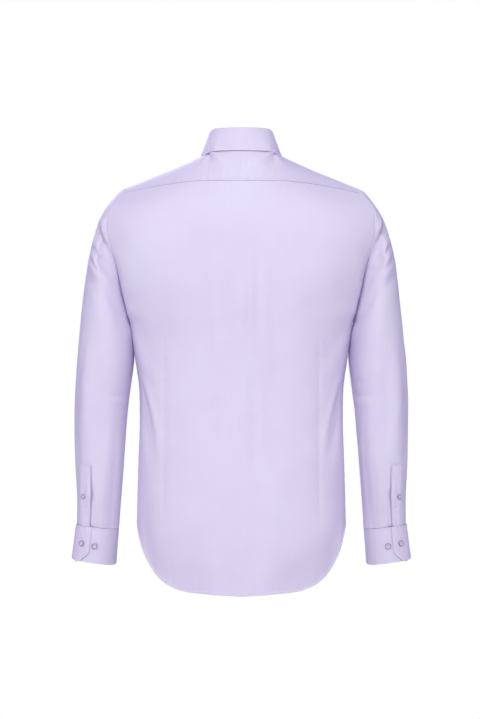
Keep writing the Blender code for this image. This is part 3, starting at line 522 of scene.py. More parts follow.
def yoke_half():
    """Grid of the left half of the yoke: rows from the back seam over the shoulder, columns from
    centre back to the armhole."""
    start = back_seam(HALF)
    leave = unit(start - torso(BACK, HALF, start[:, 2] - 4.0))
    neck_part = NECK / NECK_SHARE
    end = np.concatenate([neck_point(NECK_CORNER_TURN * neck_part), front_seam(PAST_CORNER)])
    climb = YOKE_NECK_CLIMB - (YOKE_NECK_CLIMB + YOKE_FALL) * neck_part
    climb = np.radians(np.concatenate([climb, np.full(len(PAST_CORNER), -YOKE_FALL)]))
    arrive = np.stack([np.zeros_like(climb), -np.cos(climb), np.sin(climb)], axis=-1)
    pull = np.linalg.norm(end - start, axis=1) * np.interp(HALF, *YOKE_SWELL)
    t = np.linspace(0.0, 1.0, YOKE_ROWS + 1)[:, None, None]
    return hermite(start, end, leave * pull[:, None], arrive * pull[:, None], t)


print("half yoke, rows by columns:", yoke_half().shape[:2])

# %% [markdown]
# ## The sleeve as rings
#
# A sleeve is cut flat and sewn to a tube, which is set into the armhole. Worn, it hangs in a
# slight bend. Its first ring is the armhole itself, and the others are ovals that a table gives
# from the shoulder down to the cuff's seam. A ring runs from its inner point, beside the body, to
# its outer one. Straight cylinders bridged together would do for a stiff pipe, but a smooth curve
# through each point of the rings keeps the cloth round.

# %% The left sleeve
# bulge moves a ring's back and front outwards, and lean moves its inner side forwards, past the
# body
SLEEVE = table(
    "inner_x inner_z outer_x outer_z back front middle_y bulge_back bulge_front lean",
    (197.0, -286, 236.0, -80, 51, 51, -1, 26, 14, 0),
    (196.0, -291, 253.0, -116, 54, 53, -1, 21, 11, 4),
    (192.8, -299, 264.5, -155, 57, 56, -2, 15, 8, 10),
    (190.1, -312, 272.5, -205, 59, 58, -3, 9, 5, 15),
    (187.2, -333, 279.5, -262, 60, 58, -5, 4, 2, 17),
    (188.2, -360, 285.5, -330, 60, 58, -7, 1, 0, 13),
    (193.6, -398, 291.0, -390, 57, 56, -9, 0, 0, 5),
    (200.4, -460, 292.6, -454, 53, 52, -12, 0, 0, 0),
    (206.2, -532, 291.0, -526, 48, 47, -15, 0, 0, 0),
    (211.5, -598, 288.8, -590, 43, 43, -18, 0, 0, 0),
    (215.2, -646, 289.6, -637, 40, 40, -20, 0, 0, 0))
RINGS = len(SLEEVE["lean"])
RINGS_BETWEEN = 13  # rings worked out for each row of the table


def armhole():
    """The left armhole, from the underarm up the back, over the shoulder and down the front."""
    front = front_panel()[LOW_ROWS:, -1]
    return np.concatenate([back_panel()[LOW_ROWS:, -1], yoke_half()[1:, -1], front[-2:0:-1]])


def ring_turns(loop):
    """Angle round the arm of each armhole point: 0 at the underarm, 90 behind, 180 on top."""
    edge = np.linalg.norm(np.diff(np.concatenate([loop, loop[:1]]), axis=0), axis=1)
    run = np.concatenate([[0.0], np.cumsum(edge)])
    top = ARM_ROWS + YOKE_ROWS // 2
    return np.interp(run[:-1], [0.0, run[top], run[-1]], [0.0, 180.0, 360.0])


def sleeve_ring(row, turns):
    """A ring of the sleeve's table at the given angles."""
    cos, sin = np.cos(np.radians(turns)), np.sin(np.radians(turns))
    inner, outer = (np.array([row[f"{end}_x"], row[f"{end}_z"]]) for end in ("inner", "outer"))
    half = (outer - inner) / 2
    out = np.array([half[1], -half[0]]) / np.linalg.norm(half)
    depth = np.where(sin > 0, row["back"], row["front"])
    bulge = np.where(sin > 0, row["bulge_back"], row["bulge_front"]) * sin**2
    flat = (inner + outer) / 2 - cos[:, None] * half + bulge[:, None] * out
    y = row["middle_y"] + depth * sin - row["lean"] * np.maximum(cos, 0) ** 2
    return np.stack([flat[:, 0], y, flat[:, 1]], axis=-1)


def sleeve_grid(loop, turns):
    """Grid of the left sleeve: rows from the armhole to the cuff, columns round the arm."""
    rings = [sleeve_ring({name: SLEEVE[name][i] for name in SLEEVE}, turns) for i in range(RINGS)]
    rings = np.stack([loop, *rings])
    at = np.linspace(0.0, RINGS, RINGS_BETWEEN * RINGS + 1)
    return through(np.arange(RINGS + 1.0), rings, at)


print("armhole, points:", len(armhole()))

# %% [markdown]
# ## Folds
#
# The large folds of a worn shirt come from its cut and from the body: they hang from the shoulder
# blades, pull into the armholes and gather at the waist. Each is a soft ridge (+) or trough (-)
# from one place to another on the left half of the shirt, as its solid has it, and a table says
# where, how wide and how high. Sculpting would do too, but a table can be read, and moved fold by
# fold.

# %% The large folds
FOLD = "x0 z0 x1 z1 width height"
SLEEVE_BACK_FOLDS = table(
    FOLD,
    (252, -122, 221, -178, 11, -6),
    (221, -178, 210, -238, 11, -4.5),
    (240, -114, 224, -146, 11, 2.4),
    (262, -158, 229, -200, 11, -3),
    (264, -178, 232, -218, 11, 3.5),
    (266, -200, 240, -232, 12, -2),
    (270, -330, 276, -520, 16, 3),
    (240, -420, 246, -560, 14, -2))
SLEEVE_FRONT_FOLDS = table(
    FOLD,
    (254, -128, 216, -190, 12, -5),
    (264, -166, 222, -222, 12, 3.5),
    (266, -194, 230, -248, 12, -3),
    (282, -392, 214, -418, 12, -3),
    (284, -420, 220, -452, 12, 3),
    (272, -330, 274, -560, 16, 2))
BACK_FOLDS = table(
    FOLD,
    (176, -398, 152, -512, 8, -3),
    (167, -400, 140, -520, 9, 2),
    (0, -120, 0, -700, 26, 2.2),
    (52, -240, 60, -640, 24, -2))
FRONT_FOLDS = table(
    FOLD,
    (176, -380, 120, -470, 12, -3),
    (170, -330, 96, -400, 14, 2.5),
    (196, -150, 120, -236, 14, -2.5),
    (60, -240, 66, -620, 24, -2))


def fold_height(points, folds):
    """How far the folds of a table move each point out."""
    height = np.zeros(points.shape[:-1])
    place = np.stack([np.abs(points[..., 0]), points[..., 2]], axis=-1)
    for x0, z0, x1, z1, width, rise in zip(*folds.values()):
        start, run = np.array([x0, z0]), np.array([x1 - x0, z1 - z0])
        along = ((place - start) @ run) / (run @ run)
        part = np.clip(along, 0.0, 1.0)
        off = np.linalg.norm(place - start - part[..., None] * run, axis=-1)
        height += rise * (0.35 + 0.65 * np.sin(math.pi * part)) * np.exp(-((off / width) ** 2))
    return height


print("large folds:", sum(len(t["x0"]) for t in (SLEEVE_BACK_FOLDS, SLEEVE_FRONT_FOLDS, BACK_FOLDS,
                                                 FRONT_FOLDS)))

# %% [markdown]
# ## Creases
#
# Creases are sharper and smaller. Each runs along a bowed line, and may be steep on one side, as
# cloth is that hangs over. On the torso its place is (x, z), and on a sleeve (angle round the arm,
# z), with 90 degrees behind, 180 outside and 270 in front. left and right are its half widths on
# its two sides, seen along its run. start and end are the share of its height that is left at its
# ends.

# %% Creases of the sleeves
CREASE = "a0 b0 a1 b1 bow left right rise start end"
SLEEVE_CREASES = table(
    CREASE,
    # the fold that hangs over behind the shoulder, and runs into the armhole seam
    (150, -120, 71, -191, -8, 12, 3, -8, 1, 0.9),
    (138, -112, 90, -160, -3, 4, 10, 1.6, 0.3, 0.5),
    # the smaller ones under it
    (136, -143, 88, -176, -3, 5, 5, 2.4, 0.6, 0.3),
    (156, -157, 77, -192, -8, 5, 3.5, -3.4, 0.4, 0.5),
    (148, -165, 71, -212, -4, 5, 5, 2.4, 0.5, 0.3),
    (156, -171, 92, -203, -3, 7, 4, -2.4, 0.4, 0.2),
    (142, -93, 122, -116, 0, 3, 3, -1.2, 0.3, 0.3),
    (150, -200, 88, -244, 4, 10, 8, -0.9, 0.4, 0.1),
    # the elbow
    (76, -408, 16, -411, 2, 4.5, 3.5, -1.6, 0.2, 0.6),
    (70, -421, 22, -426, -2, 5, 4, 1.3, 0.2, 0.5),
    (62, -436, 20, -432, 2, 4, 4, -1.2, 0.1, 0.6),
    (58, -388, 16, -384, 2, 5, 5, -1.1, 0.1, 0.5),
    # long soft folds down the forearm
    (126, -290, 116, -510, 3, 8, 12, 1.8, 0.1, 0.1),
    (104, -330, 98, -520, -3, 8, 8, -1.7, 0.1, 0.2),
    (147, -330, 140, -600, 4, 10, 10, -1.7, 0.1, 0.2),
    (70, -470, 78, -642, 3, 9, 9, 1.5, 0.1, 0.6),
    (50, -450, 52, -642, -3, 8, 8, -1.5, 0.1, 0.6),
    (134, -520, 130, -642, 2, 7, 7, 1.3, 0.1, 0.8),
    # the pleats into the cuff
    (99, -596, 97, -646, 0, 2.5, 3.5, -1.6, 0, 1),
    (87, -602, 86, -646, 0, 2.5, 3.5, -1.5, 0, 1),
    (93, -600, 92, -646, 0, 4, 4, 1, 0, 1),
    # in front: the same pull from the armhole, and the bend of the elbow
    (214, -112, 260, -152, -3, 4.5, 6, -3.8, 1, 0.8),
    (208, -103, 256, -140, -3, 9, 7, 2.4, 0.9, 0.4),
    (260, -154, 312, -240, 4, 5.5, 6, -3.2, 0.9, 0.2),
    (206, -152, 280, -197, -2, 4, 5, -2.5, 0.8, 0.3),
    (212, -167, 286, -215, -2, 5, 5, 2.4, 0.6, 0.2),
    (200, -181, 268, -226, -3, 5, 6, -1.9, 0.8, 0.1),
    (212, -204, 274, -252, -4, 8, 9, 1.3, 0.5, 0.1),
    (338, -372, 232, -392, 6, 6, 5, -2.4, 0.4, 0.1),
    (342, -392, 236, -408, -5, 6, 6, 2, 0.4, 0.1),
    (340, -411, 245, -419, 4, 6, 5, -2.2, 0.4, 0.1),
    (336, -432, 250, -437, -4, 7, 6, 1.6, 0.4, 0.1),
    (330, -454, 262, -452, 3, 6, 6, -1.3, 0.4, 0.1),
    (236, -300, 246, -540, 4, 10, 9, 1.6, 0.1, 0.1),
    (262, -440, 266, -642, -3, 8, 8, -1.6, 0.1, 0.6),
    (290, -470, 286, -642, 3, 8, 8, 1.4, 0.1, 0.6),
    (214, -420, 222, -630, -3, 9, 9, -1.3, 0.1, 0.3))
# the slit opens beside the placket's free edge, and pulls a short crease along the cuff
SLIT_CREASES = table(
    CREASE,
    (107.2, -538, 107.2, -650, 0, 1.1, 1.2, -6, 0.5, 1),
    (105.5, -574, 105, -598, 0, 2.5, 3.5, -1.8, 0.3, 0.3),
    (108, -643, 82, -648, 0, 3.5, 3.5, -4.5, 1, 0.1),
    (101, -631, 76, -638, -1, 3, 3, 0.9, 0.4, 0.1))
print("sleeve creases:", len(SLEEVE_CREASES["rise"]) + len(SLIT_CREASES["rise"]))

# %% Creases of the body
BACK_CREASES = table(
    CREASE,
    # at the waist, beside the side seam
    (173, -398, 150, -500, -3, 4.5, 6, -2.2, 0.8, 0.1),
    (168, -390, 143, -492, -3, 7, 5, 1.6, 0.8, 0.1),
    (176, -442, 160, -522, -2, 5, 6, -1.3, 0.8, 0.1),
    # the pull out of the underarm
    (190, -298, 150, -372, -6, 10, 12, -1.3, 0.8, 0.1),
    (186, -318, 140, -412, -6, 12, 12, 1.2, 0.7, 0.1),
    (200, -250, 170, -322, -5, 9, 10, -1, 0.6, 0.1),
    # long soft folds, down from the shoulder blades and in the skirt
    (62, -180, 70, -420, 8, 22, 26, -1, 0.1, 0.1),
    (98, -150, 106, -330, -6, 24, 22, 0.9, 0.1, 0.1),
    (96, -470, 86, -735, 6, 20, 24, -1.5, 0.1, 0.7),
    (54, -520, 50, -748, -5, 18, 20, 1.2, 0.1, 0.7),
    (150, -560, 140, -700, 4, 15, 17, 1.4, 0.1, 0.5),
    (172, -520, 170, -640, 2, 10, 12, -1.2, 0.2, 0.6),
    (22, -560, 18, -752, 4, 14, 16, -0.9, 0.1, 0.6),
    (44, -66, 62, -190, 5, 14, 18, -0.7, 0.3, 0.1),
    (152, -110, 188, -205, 5, 12, 13, -0.9, 0.3, 0.2),
    # the back falls away a little below the yoke
    (0, -70, 150, -78, 0, 16, 40, -2.2, 0.5, 0.2),
    # narrow ones down the middle of the back
    (7, -186, 5, -352, 1, 7, 6, 1.9, 0.1, 0.1),
    (27, -160, 30, -328, -2, 7, 6, -1.8, 0.1, 0.1),
    (42, -210, 46, -362, 2, 7, 8, 1.5, 0.1, 0.1),
    (16, -352, 20, -545, 2, 9, 8, -1.6, 0.1, 0.1),
    # the hem is caught up a little at the centre
    (0, -748, 0, -772, 0, 3.5, 3.5, -1.4, 0.2, 0.9))
FRONT_CREASES = table(
    CREASE,
    (198, -168, 132, -250, -8, 9, 11, -2, 0.8, 0.1),
    (200, -196, 140, -284, -8, 10, 10, 1.5, 0.7, 0.1),
    (190, -290, 146, -354, -6, 10, 12, -1.4, 0.8, 0.1),
    (176, -390, 140, -470, -4, 6, 8, -1.9, 0.8, 0.1),
    (172, -380, 132, -458, -4, 8, 6, 1.4, 0.8, 0.1),
    (64, -112, 96, -290, 8, 20, 26, -1.2, 0.1, 0.1),
    (34, -150, 38, -330, -4, 13, 16, 0.8, 0.1, 0.1),
    (110, -480, 100, -715, 6, 18, 22, -1.5, 0.1, 0.6),
    (62, -520, 58, -726, -5, 17, 20, 1.2, 0.1, 0.6),
    (150, -540, 146, -680, 4, 14, 16, 1.2, 0.2, 0.5),
    (30, -390, 34, -560, 4, 12, 14, -0.8, 0.1, 0.1))
YOKE_CREASES = table(
    CREASE,
    (70, 4, 150, -34, 4, 9, 12, -0.8, 0.5, 0.1),
    (74, -6, 190, -42, -4, 12, 10, 0.8, 0.4, 0.1),
    (30, 6, 60, -38, 3, 8, 10, -0.6, 0.4, 0.1))
print("body creases:", sum(len(t["rise"]) for t in (BACK_CREASES, FRONT_CREASES, YOKE_CREASES)))

# %% Laying creases on a grid
ARM_SCALE = 0.9  # mm of cloth to a degree round the arm
SEED_SHIFT, SEED_RISE = 2.2, 0.16  # how much a seed varies a crease's place and height
TAPER = 0.35  # share of a crease's length over which it fades at each end


def creases(across, up, rows, seed=None, round_arm=False):
    """How far the creases of a table move each point out. A seed varies them a little, for the
    other side of the shirt."""
    vary = np.random.default_rng(seed)
    height = np.zeros(np.broadcast(across, up).shape)
    scale = ARM_SCALE if round_arm else 1.0
    for a0, b0, a1, b1, bow, left, right, rise, start, end in zip(*rows.values()):
        if seed is not None:
            a0, b0, a1, b1, bow = np.array([a0, b0, a1, b1, bow]) + vary.normal(0.0, SEED_SHIFT, 5)
            rise *= 1.0 + SEED_RISE * vary.normal()
        run = np.array([(a1 - a0) * scale, b1 - b0])
        length = np.hypot(*run)
        way = run / length
        away = np.asarray(across - a0)
        if round_arm:
            away = ((away + 180.0) % 360.0 - 180.0) * scale
        rest = up - b0
        along = (away * way[0] + rest * way[1]) / length
        part = np.clip(along, 0.0, 1.0)
        off = rest * way[0] - away * way[1] - bow * 4 * part * (1 - part)
        beyond = (along - part) * length
        width = np.where(off > 0, left, right)
        taper = (start + (1 - start) * smooth_step(part, 0.0, TAPER)) * (
            end + (1 - end) * smooth_step(1 - part, 0.0, TAPER))
        height += rise * taper * np.exp(-((off / width) ** 2) - (2 * beyond / (left + right)) ** 2)
    return height


print("the deepest sleeve crease, mm:", SLEEVE_CREASES["rise"].min())

# %% [markdown]
# ## Puckers and slow waves
#
# A sewn seam draws its thread tight, so the cloth beside it stands up in small puckers. And no
# cloth that hangs free is ever quite even. Both are sums of sine waves whose phases are drawn at
# random from a fixed seed, which gives the same shirt each time. A displacement texture would do
# the same, but couldn't follow the seams.

# %% Puckers and waves
def wander(along, pitch, seed):
    """An uneven wave of about the given pitch, between about -1 and 1."""
    draw = np.random.default_rng(seed)
    return sum(np.sin(2 * math.pi * (along / (pitch * stretch) + draw.uniform())) * stretch
               for stretch in (0.62, 0.81, 1.0, 1.37, 1.9)) / 3.2


def hump(distance, reach):
    """0 at a seam, 1 at the distance reach from it, and slowly back to 0 beyond."""
    near = np.clip(distance, 0.0, None) / reach
    return near * np.exp(1.0 - near)


def pucker(distance, along, seed, pitch, height, reach):
    """Small puckers beside a sewn seam, none on the seam itself. pitch, height and reach are in
    millimetres."""
    return height * wander(along, pitch, seed) * hump(distance, reach)


def unevenness(points, seed, height):
    """The slight slow waviness of cloth that isn't pulled tight."""
    draw = np.random.default_rng(seed)
    total = np.zeros(points.shape[:-1])
    for size in (150.0, 105.0, 74.0, 52.0, 37.0):
        way = unit(draw.normal(size=3) * np.array([1.0, 0.6, 0.5]))
        total += np.sin(2 * math.pi * (points @ way / size + draw.uniform())) * size / 150.0
    return height * total


print("a pucker at 5 mm, mm:", round(float(pucker(5.0, 0.0, 41, 9.0, 0.5, 6.0)), 2))

# %% [markdown]
# ## From a grid to cloth
#
# Poplin is about 0.3 mm thin, but with its turnings, seams and interlinings a panel is thicker,
# and its wall is as thick as the solid's. Each panel starts as a flat grid from Blender's own
# operator and is laid on its surface point by point. A Solidify modifier gives it the wall, which
# keeps the mesh simple, and one more line close to each edge keeps the rounding of the edge
# narrow.

# %% Normals, distances and edges of a grid
# low and top are a grid's first and last row, start and end its first and last column


def grid_normals(grid, ring=False):
    """Unit vectors out of a grid, whose columns go round anticlockwise seen from its first row's
    side, with `ring` true where the last column meets the first."""
    if ring:
        across = (np.roll(grid, -1, axis=1) - np.roll(grid, 1, axis=1)) / 2
    else:
        across = np.gradient(grid, axis=1)
    return unit(np.cross(np.gradient(grid, axis=0), across))


def out_of(grid, outward, height):
    """A grid with its points moved out by height."""
    return grid + outward * grid_normals(grid) * height[..., None]


def from_edge(grid, edge):
    """Distance of each point of a grid from one of its edges, along the cloth."""
    axis = 0 if edge in ("low", "top") else 1
    step = np.linalg.norm(np.diff(grid, axis=axis), axis=-1)
    run = np.cumsum(np.insert(step, 0, 0.0, axis=axis), axis=axis)
    return run if edge in ("low", "start") else np.take(run, [-1], axis=axis) - run


def by_edges(grid, sewn):
    """Views of a grid with each sewn edge in turn as the first line."""
    for edge in sewn.split():
        lines = grid if edge in ("low", "top") else grid.swapaxes(0, 1)
        yield lines if edge in ("low", "start") else lines[::-1]


def inset(grid, sewn):
    """Half a seam's gap taken off the edges that are sewn to a neighbour."""
    moved = grid.copy()
    for lines in by_edges(moved, sewn):
        lines[0] += unit(lines[1] - lines[0]) * SEAM_GAP / 2
    return moved


def off_seams(grid, sewn, reach=2.0 * FINE):
    """1 inside a grid, and 0 at its sewn edges, from which it climbs over reach lines."""
    weight = np.ones(grid.shape[:2])
    for lines in by_edges(weight, sewn):
        lines *= smooth_step(np.arange(len(lines)), 0.0, reach)[:, None]
    return weight


def eased(grid, weight, reach):
    """The grid with its bends along the columns spread over reach lines, where weight is 1."""
    row = np.arange(grid.shape[0])
    share = np.exp(-(((row[:, None] - row) / reach) ** 2))
    smooth = np.einsum("ij,jkc->ikc", share / share.sum(axis=1, keepdims=True), grid)
    return grid + (smooth - grid) * weight[..., None]


print("the back from hem to yoke, mm:", from_edge(back_panel(), "low")[-1].max().round())

# %% Making a panel of cloth
EDGE_LINE = 0.5  # mm of cloth that rounds over at a turned edge


def with_edge_lines(grid):
    """The grid with one more line close to its first row and to its last."""
    def beside(edge, inner):
        step = inner - edge
        share = EDGE_LINE / np.linalg.norm(step, axis=-1, keepdims=True)
        return edge + step * np.minimum(share, 0.5)

    near = beside(grid[0], grid[1]), beside(grid[-1], grid[-2])
    return np.concatenate([grid[:1], near[0][None], grid[1:-1], near[1][None], grid[-1:]])


def mesh_data(mesh, name):
    """Turns a bmesh into mesh data, and lets it go."""
    data = bpy.data.meshes.new(name)
    mesh.to_mesh(data)
    mesh.free()
    return data


def linked(name, data):
    """A new object in the scene."""
    thing = bpy.data.objects.new(name, data)
    scene.collection.objects.link(thing)
    return thing


def add_piece(name, data, material):
    """Puts a finished mesh in the scene as a piece of the shirt."""
    data.materials.clear()
    data.materials.append(material)
    piece = linked(name, data)
    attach(piece, "root")
    return piece


def cloth(node_name, grid, wall, material, outward, hangs_from, closed=False):
    """A panel as a mesh: its outer face is the grid, whose normals point out where outward is 1."""
    name = f"{node_name}_cloth"
    grid = with_edge_lines(grid)
    if closed:
        grid = np.concatenate([grid, grid[:, :1]], axis=1)
    else:
        grid = with_edge_lines(grid.swapaxes(0, 1)).swapaxes(0, 1)
    rows, cols = grid.shape[:2]
    rise, run = (np.linalg.norm(np.diff(grid, axis=axis), axis=-1) for axis in (0, 1))
    mesh = bmesh.new()
    uv_layer = mesh.loops.layers.uv.new("cloth")
    bmesh.ops.create_grid(mesh, x_segments=cols - 1, y_segments=rows - 1, size=1.0)
    place = {}
    u, v = np.cumsum([0.0, *run.mean(axis=0)]), np.cumsum([0.0, *rise.mean(axis=1)])
    for vert in mesh.verts:
        j = round((vert.co.x + 1) / 2 * (cols - 1))
        i = round((vert.co.y + 1) / 2 * (rows - 1))
        place[vert] = (float(u[j]), float(v[i]))
        vert.co = grid[i, j] * MM
    for face in mesh.faces:
        for loop in face.loops:
            loop[uv_layer].uv = place[loop.vert]
    if outward > 0:
        bmesh.ops.reverse_faces(mesh, faces=mesh.faces)
    if closed:
        bmesh.ops.remove_doubles(mesh, verts=mesh.verts, dist=1e-6)
    data = mesh_data(mesh, name)
    data.shade_smooth()
    piece = add_piece(name, data, material)
    thick = piece.modifiers.new("wall", "SOLIDIFY")
    thick.thickness, thick.offset = wall * MM, -1.0
    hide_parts(node_name)
    width, length = max(u[-1], run.sum(axis=1).max()) * MM, rise.sum(axis=0).max() * MM
    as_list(hangs_from)
    return piece


print("cloth walls, mm:", WALL, BAND_WALL)

# %% [markdown]
# ## The back
#
# The back is one panel with two long slim darts, which are tucks sewn on the inside that take the
# waist in. Outside, a dart shows as a thin sunk line between puckers. The lower edge is turned up
# twice into a narrow rolled hem. Beside the armholes the cloth swells, rolls over and goes down
# steeply to its seam, because the arms pull it there. All of this is added to the panel's own form
# along its normals: a bump in the material wouldn't change the outline.

# %% Darts, hem and armholes
DART_X, DART_TOP_Z, DART_END_Z = 135.0, -300.0, -628.0
DART_DEPTH, DART_HALF_WIDTH = 1.5, 9.0  # of the trough that a dart lies in
DART_PITCH, DART_SLANT = 13.0, 0.35  # of its puckers
HEM_DEPTH = 6.0  # of the narrow rolled hem
HEM_RISE = 0.7  # how much thicker the hem is
HEM_SLOPE, STITCH_DIP = 1.8, 0.8  # width of its step, and of the dip where it is stitched
HEM_LINES = [0.0, 1.2, 3.4, 4.4, 5.2, 6.0, 7.0]  # distances of the lines of cloth that form it
ROLL, ROLL_REACH = 5.0, 15.0  # how far the body's cloth swells beside the armhole
TUCK, TUCK_REACH = 16.5, 10.0  # how far the armhole's seam lies behind it
FRONT_TUCK = 0.6  # the same in front, as a share
TUCKED = 155.0, 195.0, 262.0, 288.0  # where the roll begins, is full and ends, below the origin
UNDERARM_BEND = -272.0, 70.0  # middle and reach of the bend that is spread over more cloth


def dart_shape(points):
    """The trough of a dart, its thin sunk seam, and the puckers on both sides of it."""
    off, z = np.abs(points[..., 0]) - DART_X, points[..., 2]
    trough = hill(z, DART_END_Z, DART_END_Z + 60, DART_TOP_Z - 60, DART_TOP_Z)
    sewn_part = hill(z, DART_END_Z - 4, DART_END_Z + 14, DART_TOP_Z - 14, DART_TOP_Z)
    along = z + DART_SLANT * off
    beat = np.where(points[..., 0] > 0, *(wander(along, DART_PITCH, seed) for seed in (31, 32)))
    # sunk along the seam, puckered beside it, and raised a little 5 mm away from it
    seam = 0.825 * (beat * np.exp(-np.abs(off) / 7.5) - np.exp(-((off / 1.7) ** 2)))
    seam += 0.75 * np.exp(-(((off - 5.0) / 4.0) ** 2))
    return -DART_DEPTH * trough * np.exp(-((off / DART_HALF_WIDTH) ** 2)), sewn_part * seam


def hem_roll(distance):
    """The turned-up hem: a little thicker than the cloth above, and sunk where it is stitched."""
    rise = 1.0 - smooth_step(distance, HEM_DEPTH + 0.2 - HEM_SLOPE, HEM_DEPTH + 0.2)
    from_stitch = (distance - HEM_DEPTH + STITCH_DIP) / STITCH_DIP
    return HEM_RISE * (rise - 0.5 * np.exp(-(from_stitch**2)))


def hemmed(grid, outward):
    """A panel with its lower edge rolled up into the narrow hem, for which it gets closer lines."""
    run = from_edge(grid, "low")
    above = HEM_LINES[-1] + 2.0
    at = np.array(HEM_LINES)[:, None] * np.ones_like(run[:1])
    at = np.concatenate([at, above + (run[-1] - above) * run / run[-1]])
    fine = np.stack([[np.interp(at[:, j], run[:, j], grid[:, j, k]) for k in range(3)]
                     for j in range(grid.shape[1])]).transpose(2, 0, 1)
    return out_of(fine, outward, hem_roll(from_edge(fine, "low")))


def tucked(z):
    """Share of the roll at a height: full beside the shoulder blade, none on the shoulder and at
    the underarm."""
    return hill(-z, *TUCKED)


def armhole_roll(distance, z):
    """How far the body's cloth beside the armhole is out along its normal, and how far it is drawn
    in towards the arm, so that it rolls over into its seam."""
    near = np.clip(distance, 0.0, None) / TUCK_REACH
    return tucked(z) * ROLL * hump(distance, ROLL_REACH), tucked(z) * TUCK * np.exp(-(near**2))


def eased_panel(panel, from_arm):
    """A panel with its bend at the underarm's height spread over more cloth, but at the seam."""
    middle, reach = UNDERARM_BEND
    weight = np.exp(-(((panel[..., 2] - middle) / reach) ** 2)) * smooth_step(from_arm, 1.0, 24.0)
    return eased(panel, weight, 1.7 * FINE)


print("hem's thickest, mm:", round(float(hem_roll(np.linspace(0, 9, 91)).max()), 2))

# %% The back's cloth
SIDE_FILL, SIDE_FILL_REACH = 5.0, 20.0  # how far the back fills out beside the underarm
SIDE_FILL_Z = 235.0, 285.0, 310.0, 365.0  # where it begins, is full and ends, below the origin
TAIL_TURN, TAIL_REACH = 12.0, 48.0  # the corners of the shirttail turn in towards the legs
TAIL_TURN_X = 30.0, 110.0, 150.0, 178.0  # where that begins, is full and ends, from the middle

base = back_panel()
from_arm = np.minimum(from_edge(base, "start"), from_edge(base, "end"))
base = eased_panel(base, from_arm)
x, z = base[..., 0], base[..., 2]
trough, detail = dart_shape(base)
bend = creases(x, z, BACK_CREASES) + creases(-x, z, BACK_CREASES, seed=7)
bend += fold_height(base, BACK_FOLDS) + trough + unevenness(base, 3, 0.45)
from_hem = from_edge(base, "low")
detail += pucker(from_edge(base, "top"), x, 41, 9.0, 0.5, 6.0)
detail += pucker(from_hem, x, 42, 11.0, 0.42, 8.0)
for edge, seed in (("start", 43), ("end", 44)):
    detail += pucker(from_edge(base, edge), z, seed, 11.0, 0.40, 5.0)
roll, tuck = armhole_roll(from_arm, z)
back_grid = out_of(base, 1.0, bend * off_seams(base, "top start end") + detail + roll)
back_grid[..., 1] += SIDE_FILL * hill(-z, *SIDE_FILL_Z) * hump(from_arm, SIDE_FILL_REACH) - tuck
tail = hill(np.abs(x), *TAIL_TURN_X) * np.exp(-((from_hem / TAIL_REACH) ** 2))
back_grid[..., 1] -= TAIL_TURN * tail
back_grid = inset(hemmed(back_grid, 1.0), "top start end")
back = cloth("back", back_grid, WALL, cotton, 1.0, ["yoke_cloth"])
print(back.name, back_grid.shape)

# %% [markdown]
# ## The yoke
#
# The yoke lies smooth, because it carries the shirt: only faint creases fan out from the collar.
# Its lower edge is folded over the back's, so it is a little thicker there. Under the edge of the
# collar, where the neck turns into the shoulder, it fills out until it touches the collar's leaf.

# %% The yoke's cloth
YOKE_EDGE = 1.3  # its folded edge, against a rolled hem
NECK_FILL, NECK_FILL_WIDTH = 3.8, 9.0  # how far it fills out under the collar's edge
NECK_FILL_X, NECK_FILL_Y = 61.5, 39.0

base = yoke_half()
base = np.concatenate([mirrored(base)[:, :-1], base], axis=1)
x, z = base[..., 0], base[..., 2]
from_back = from_edge(base, "low")
bend = creases(x, z, YOKE_CREASES) + creases(-x, z, YOKE_CREASES, seed=8)
bend += unevenness(base, 5, 0.25)
detail = pucker(from_back, x, 51, 8.0, 0.5, 5.0) + hem_roll(from_back) * YOKE_EDGE
detail += pucker(from_edge(base, "top"), x, 52, 8.0, 0.34, 4.0)
away = (np.abs(x) - NECK_FILL_X) ** 2 + (base[..., 1] - NECK_FILL_Y) ** 2
detail += NECK_FILL * np.exp(-away / NECK_FILL_WIDTH**2)
yoke_grid = out_of(base, 1.0, bend * off_seams(base, "low top start end") + detail)
yoke_grid = inset(yoke_grid, "low top start end")
yoke = cloth("yoke", yoke_grid, WALL, cotton, 1.0, ["collar_stand_cloth"])
print(yoke.name, yoke_grid.shape)

# %% [markdown]
# ## The fronts
#
# The two fronts are the same panel, mirrored. The left one laps over the right one with the
# buttonholes, and is lifted there by a cloth's thickness until just past the lower front's edge. A
# seed varies the right one's creases a little, since no two sides of a worn shirt fall alike.

# %% The fronts' cloth
front_base = front_panel()
front_base = eased_panel(front_base, from_edge(front_base, "end"))


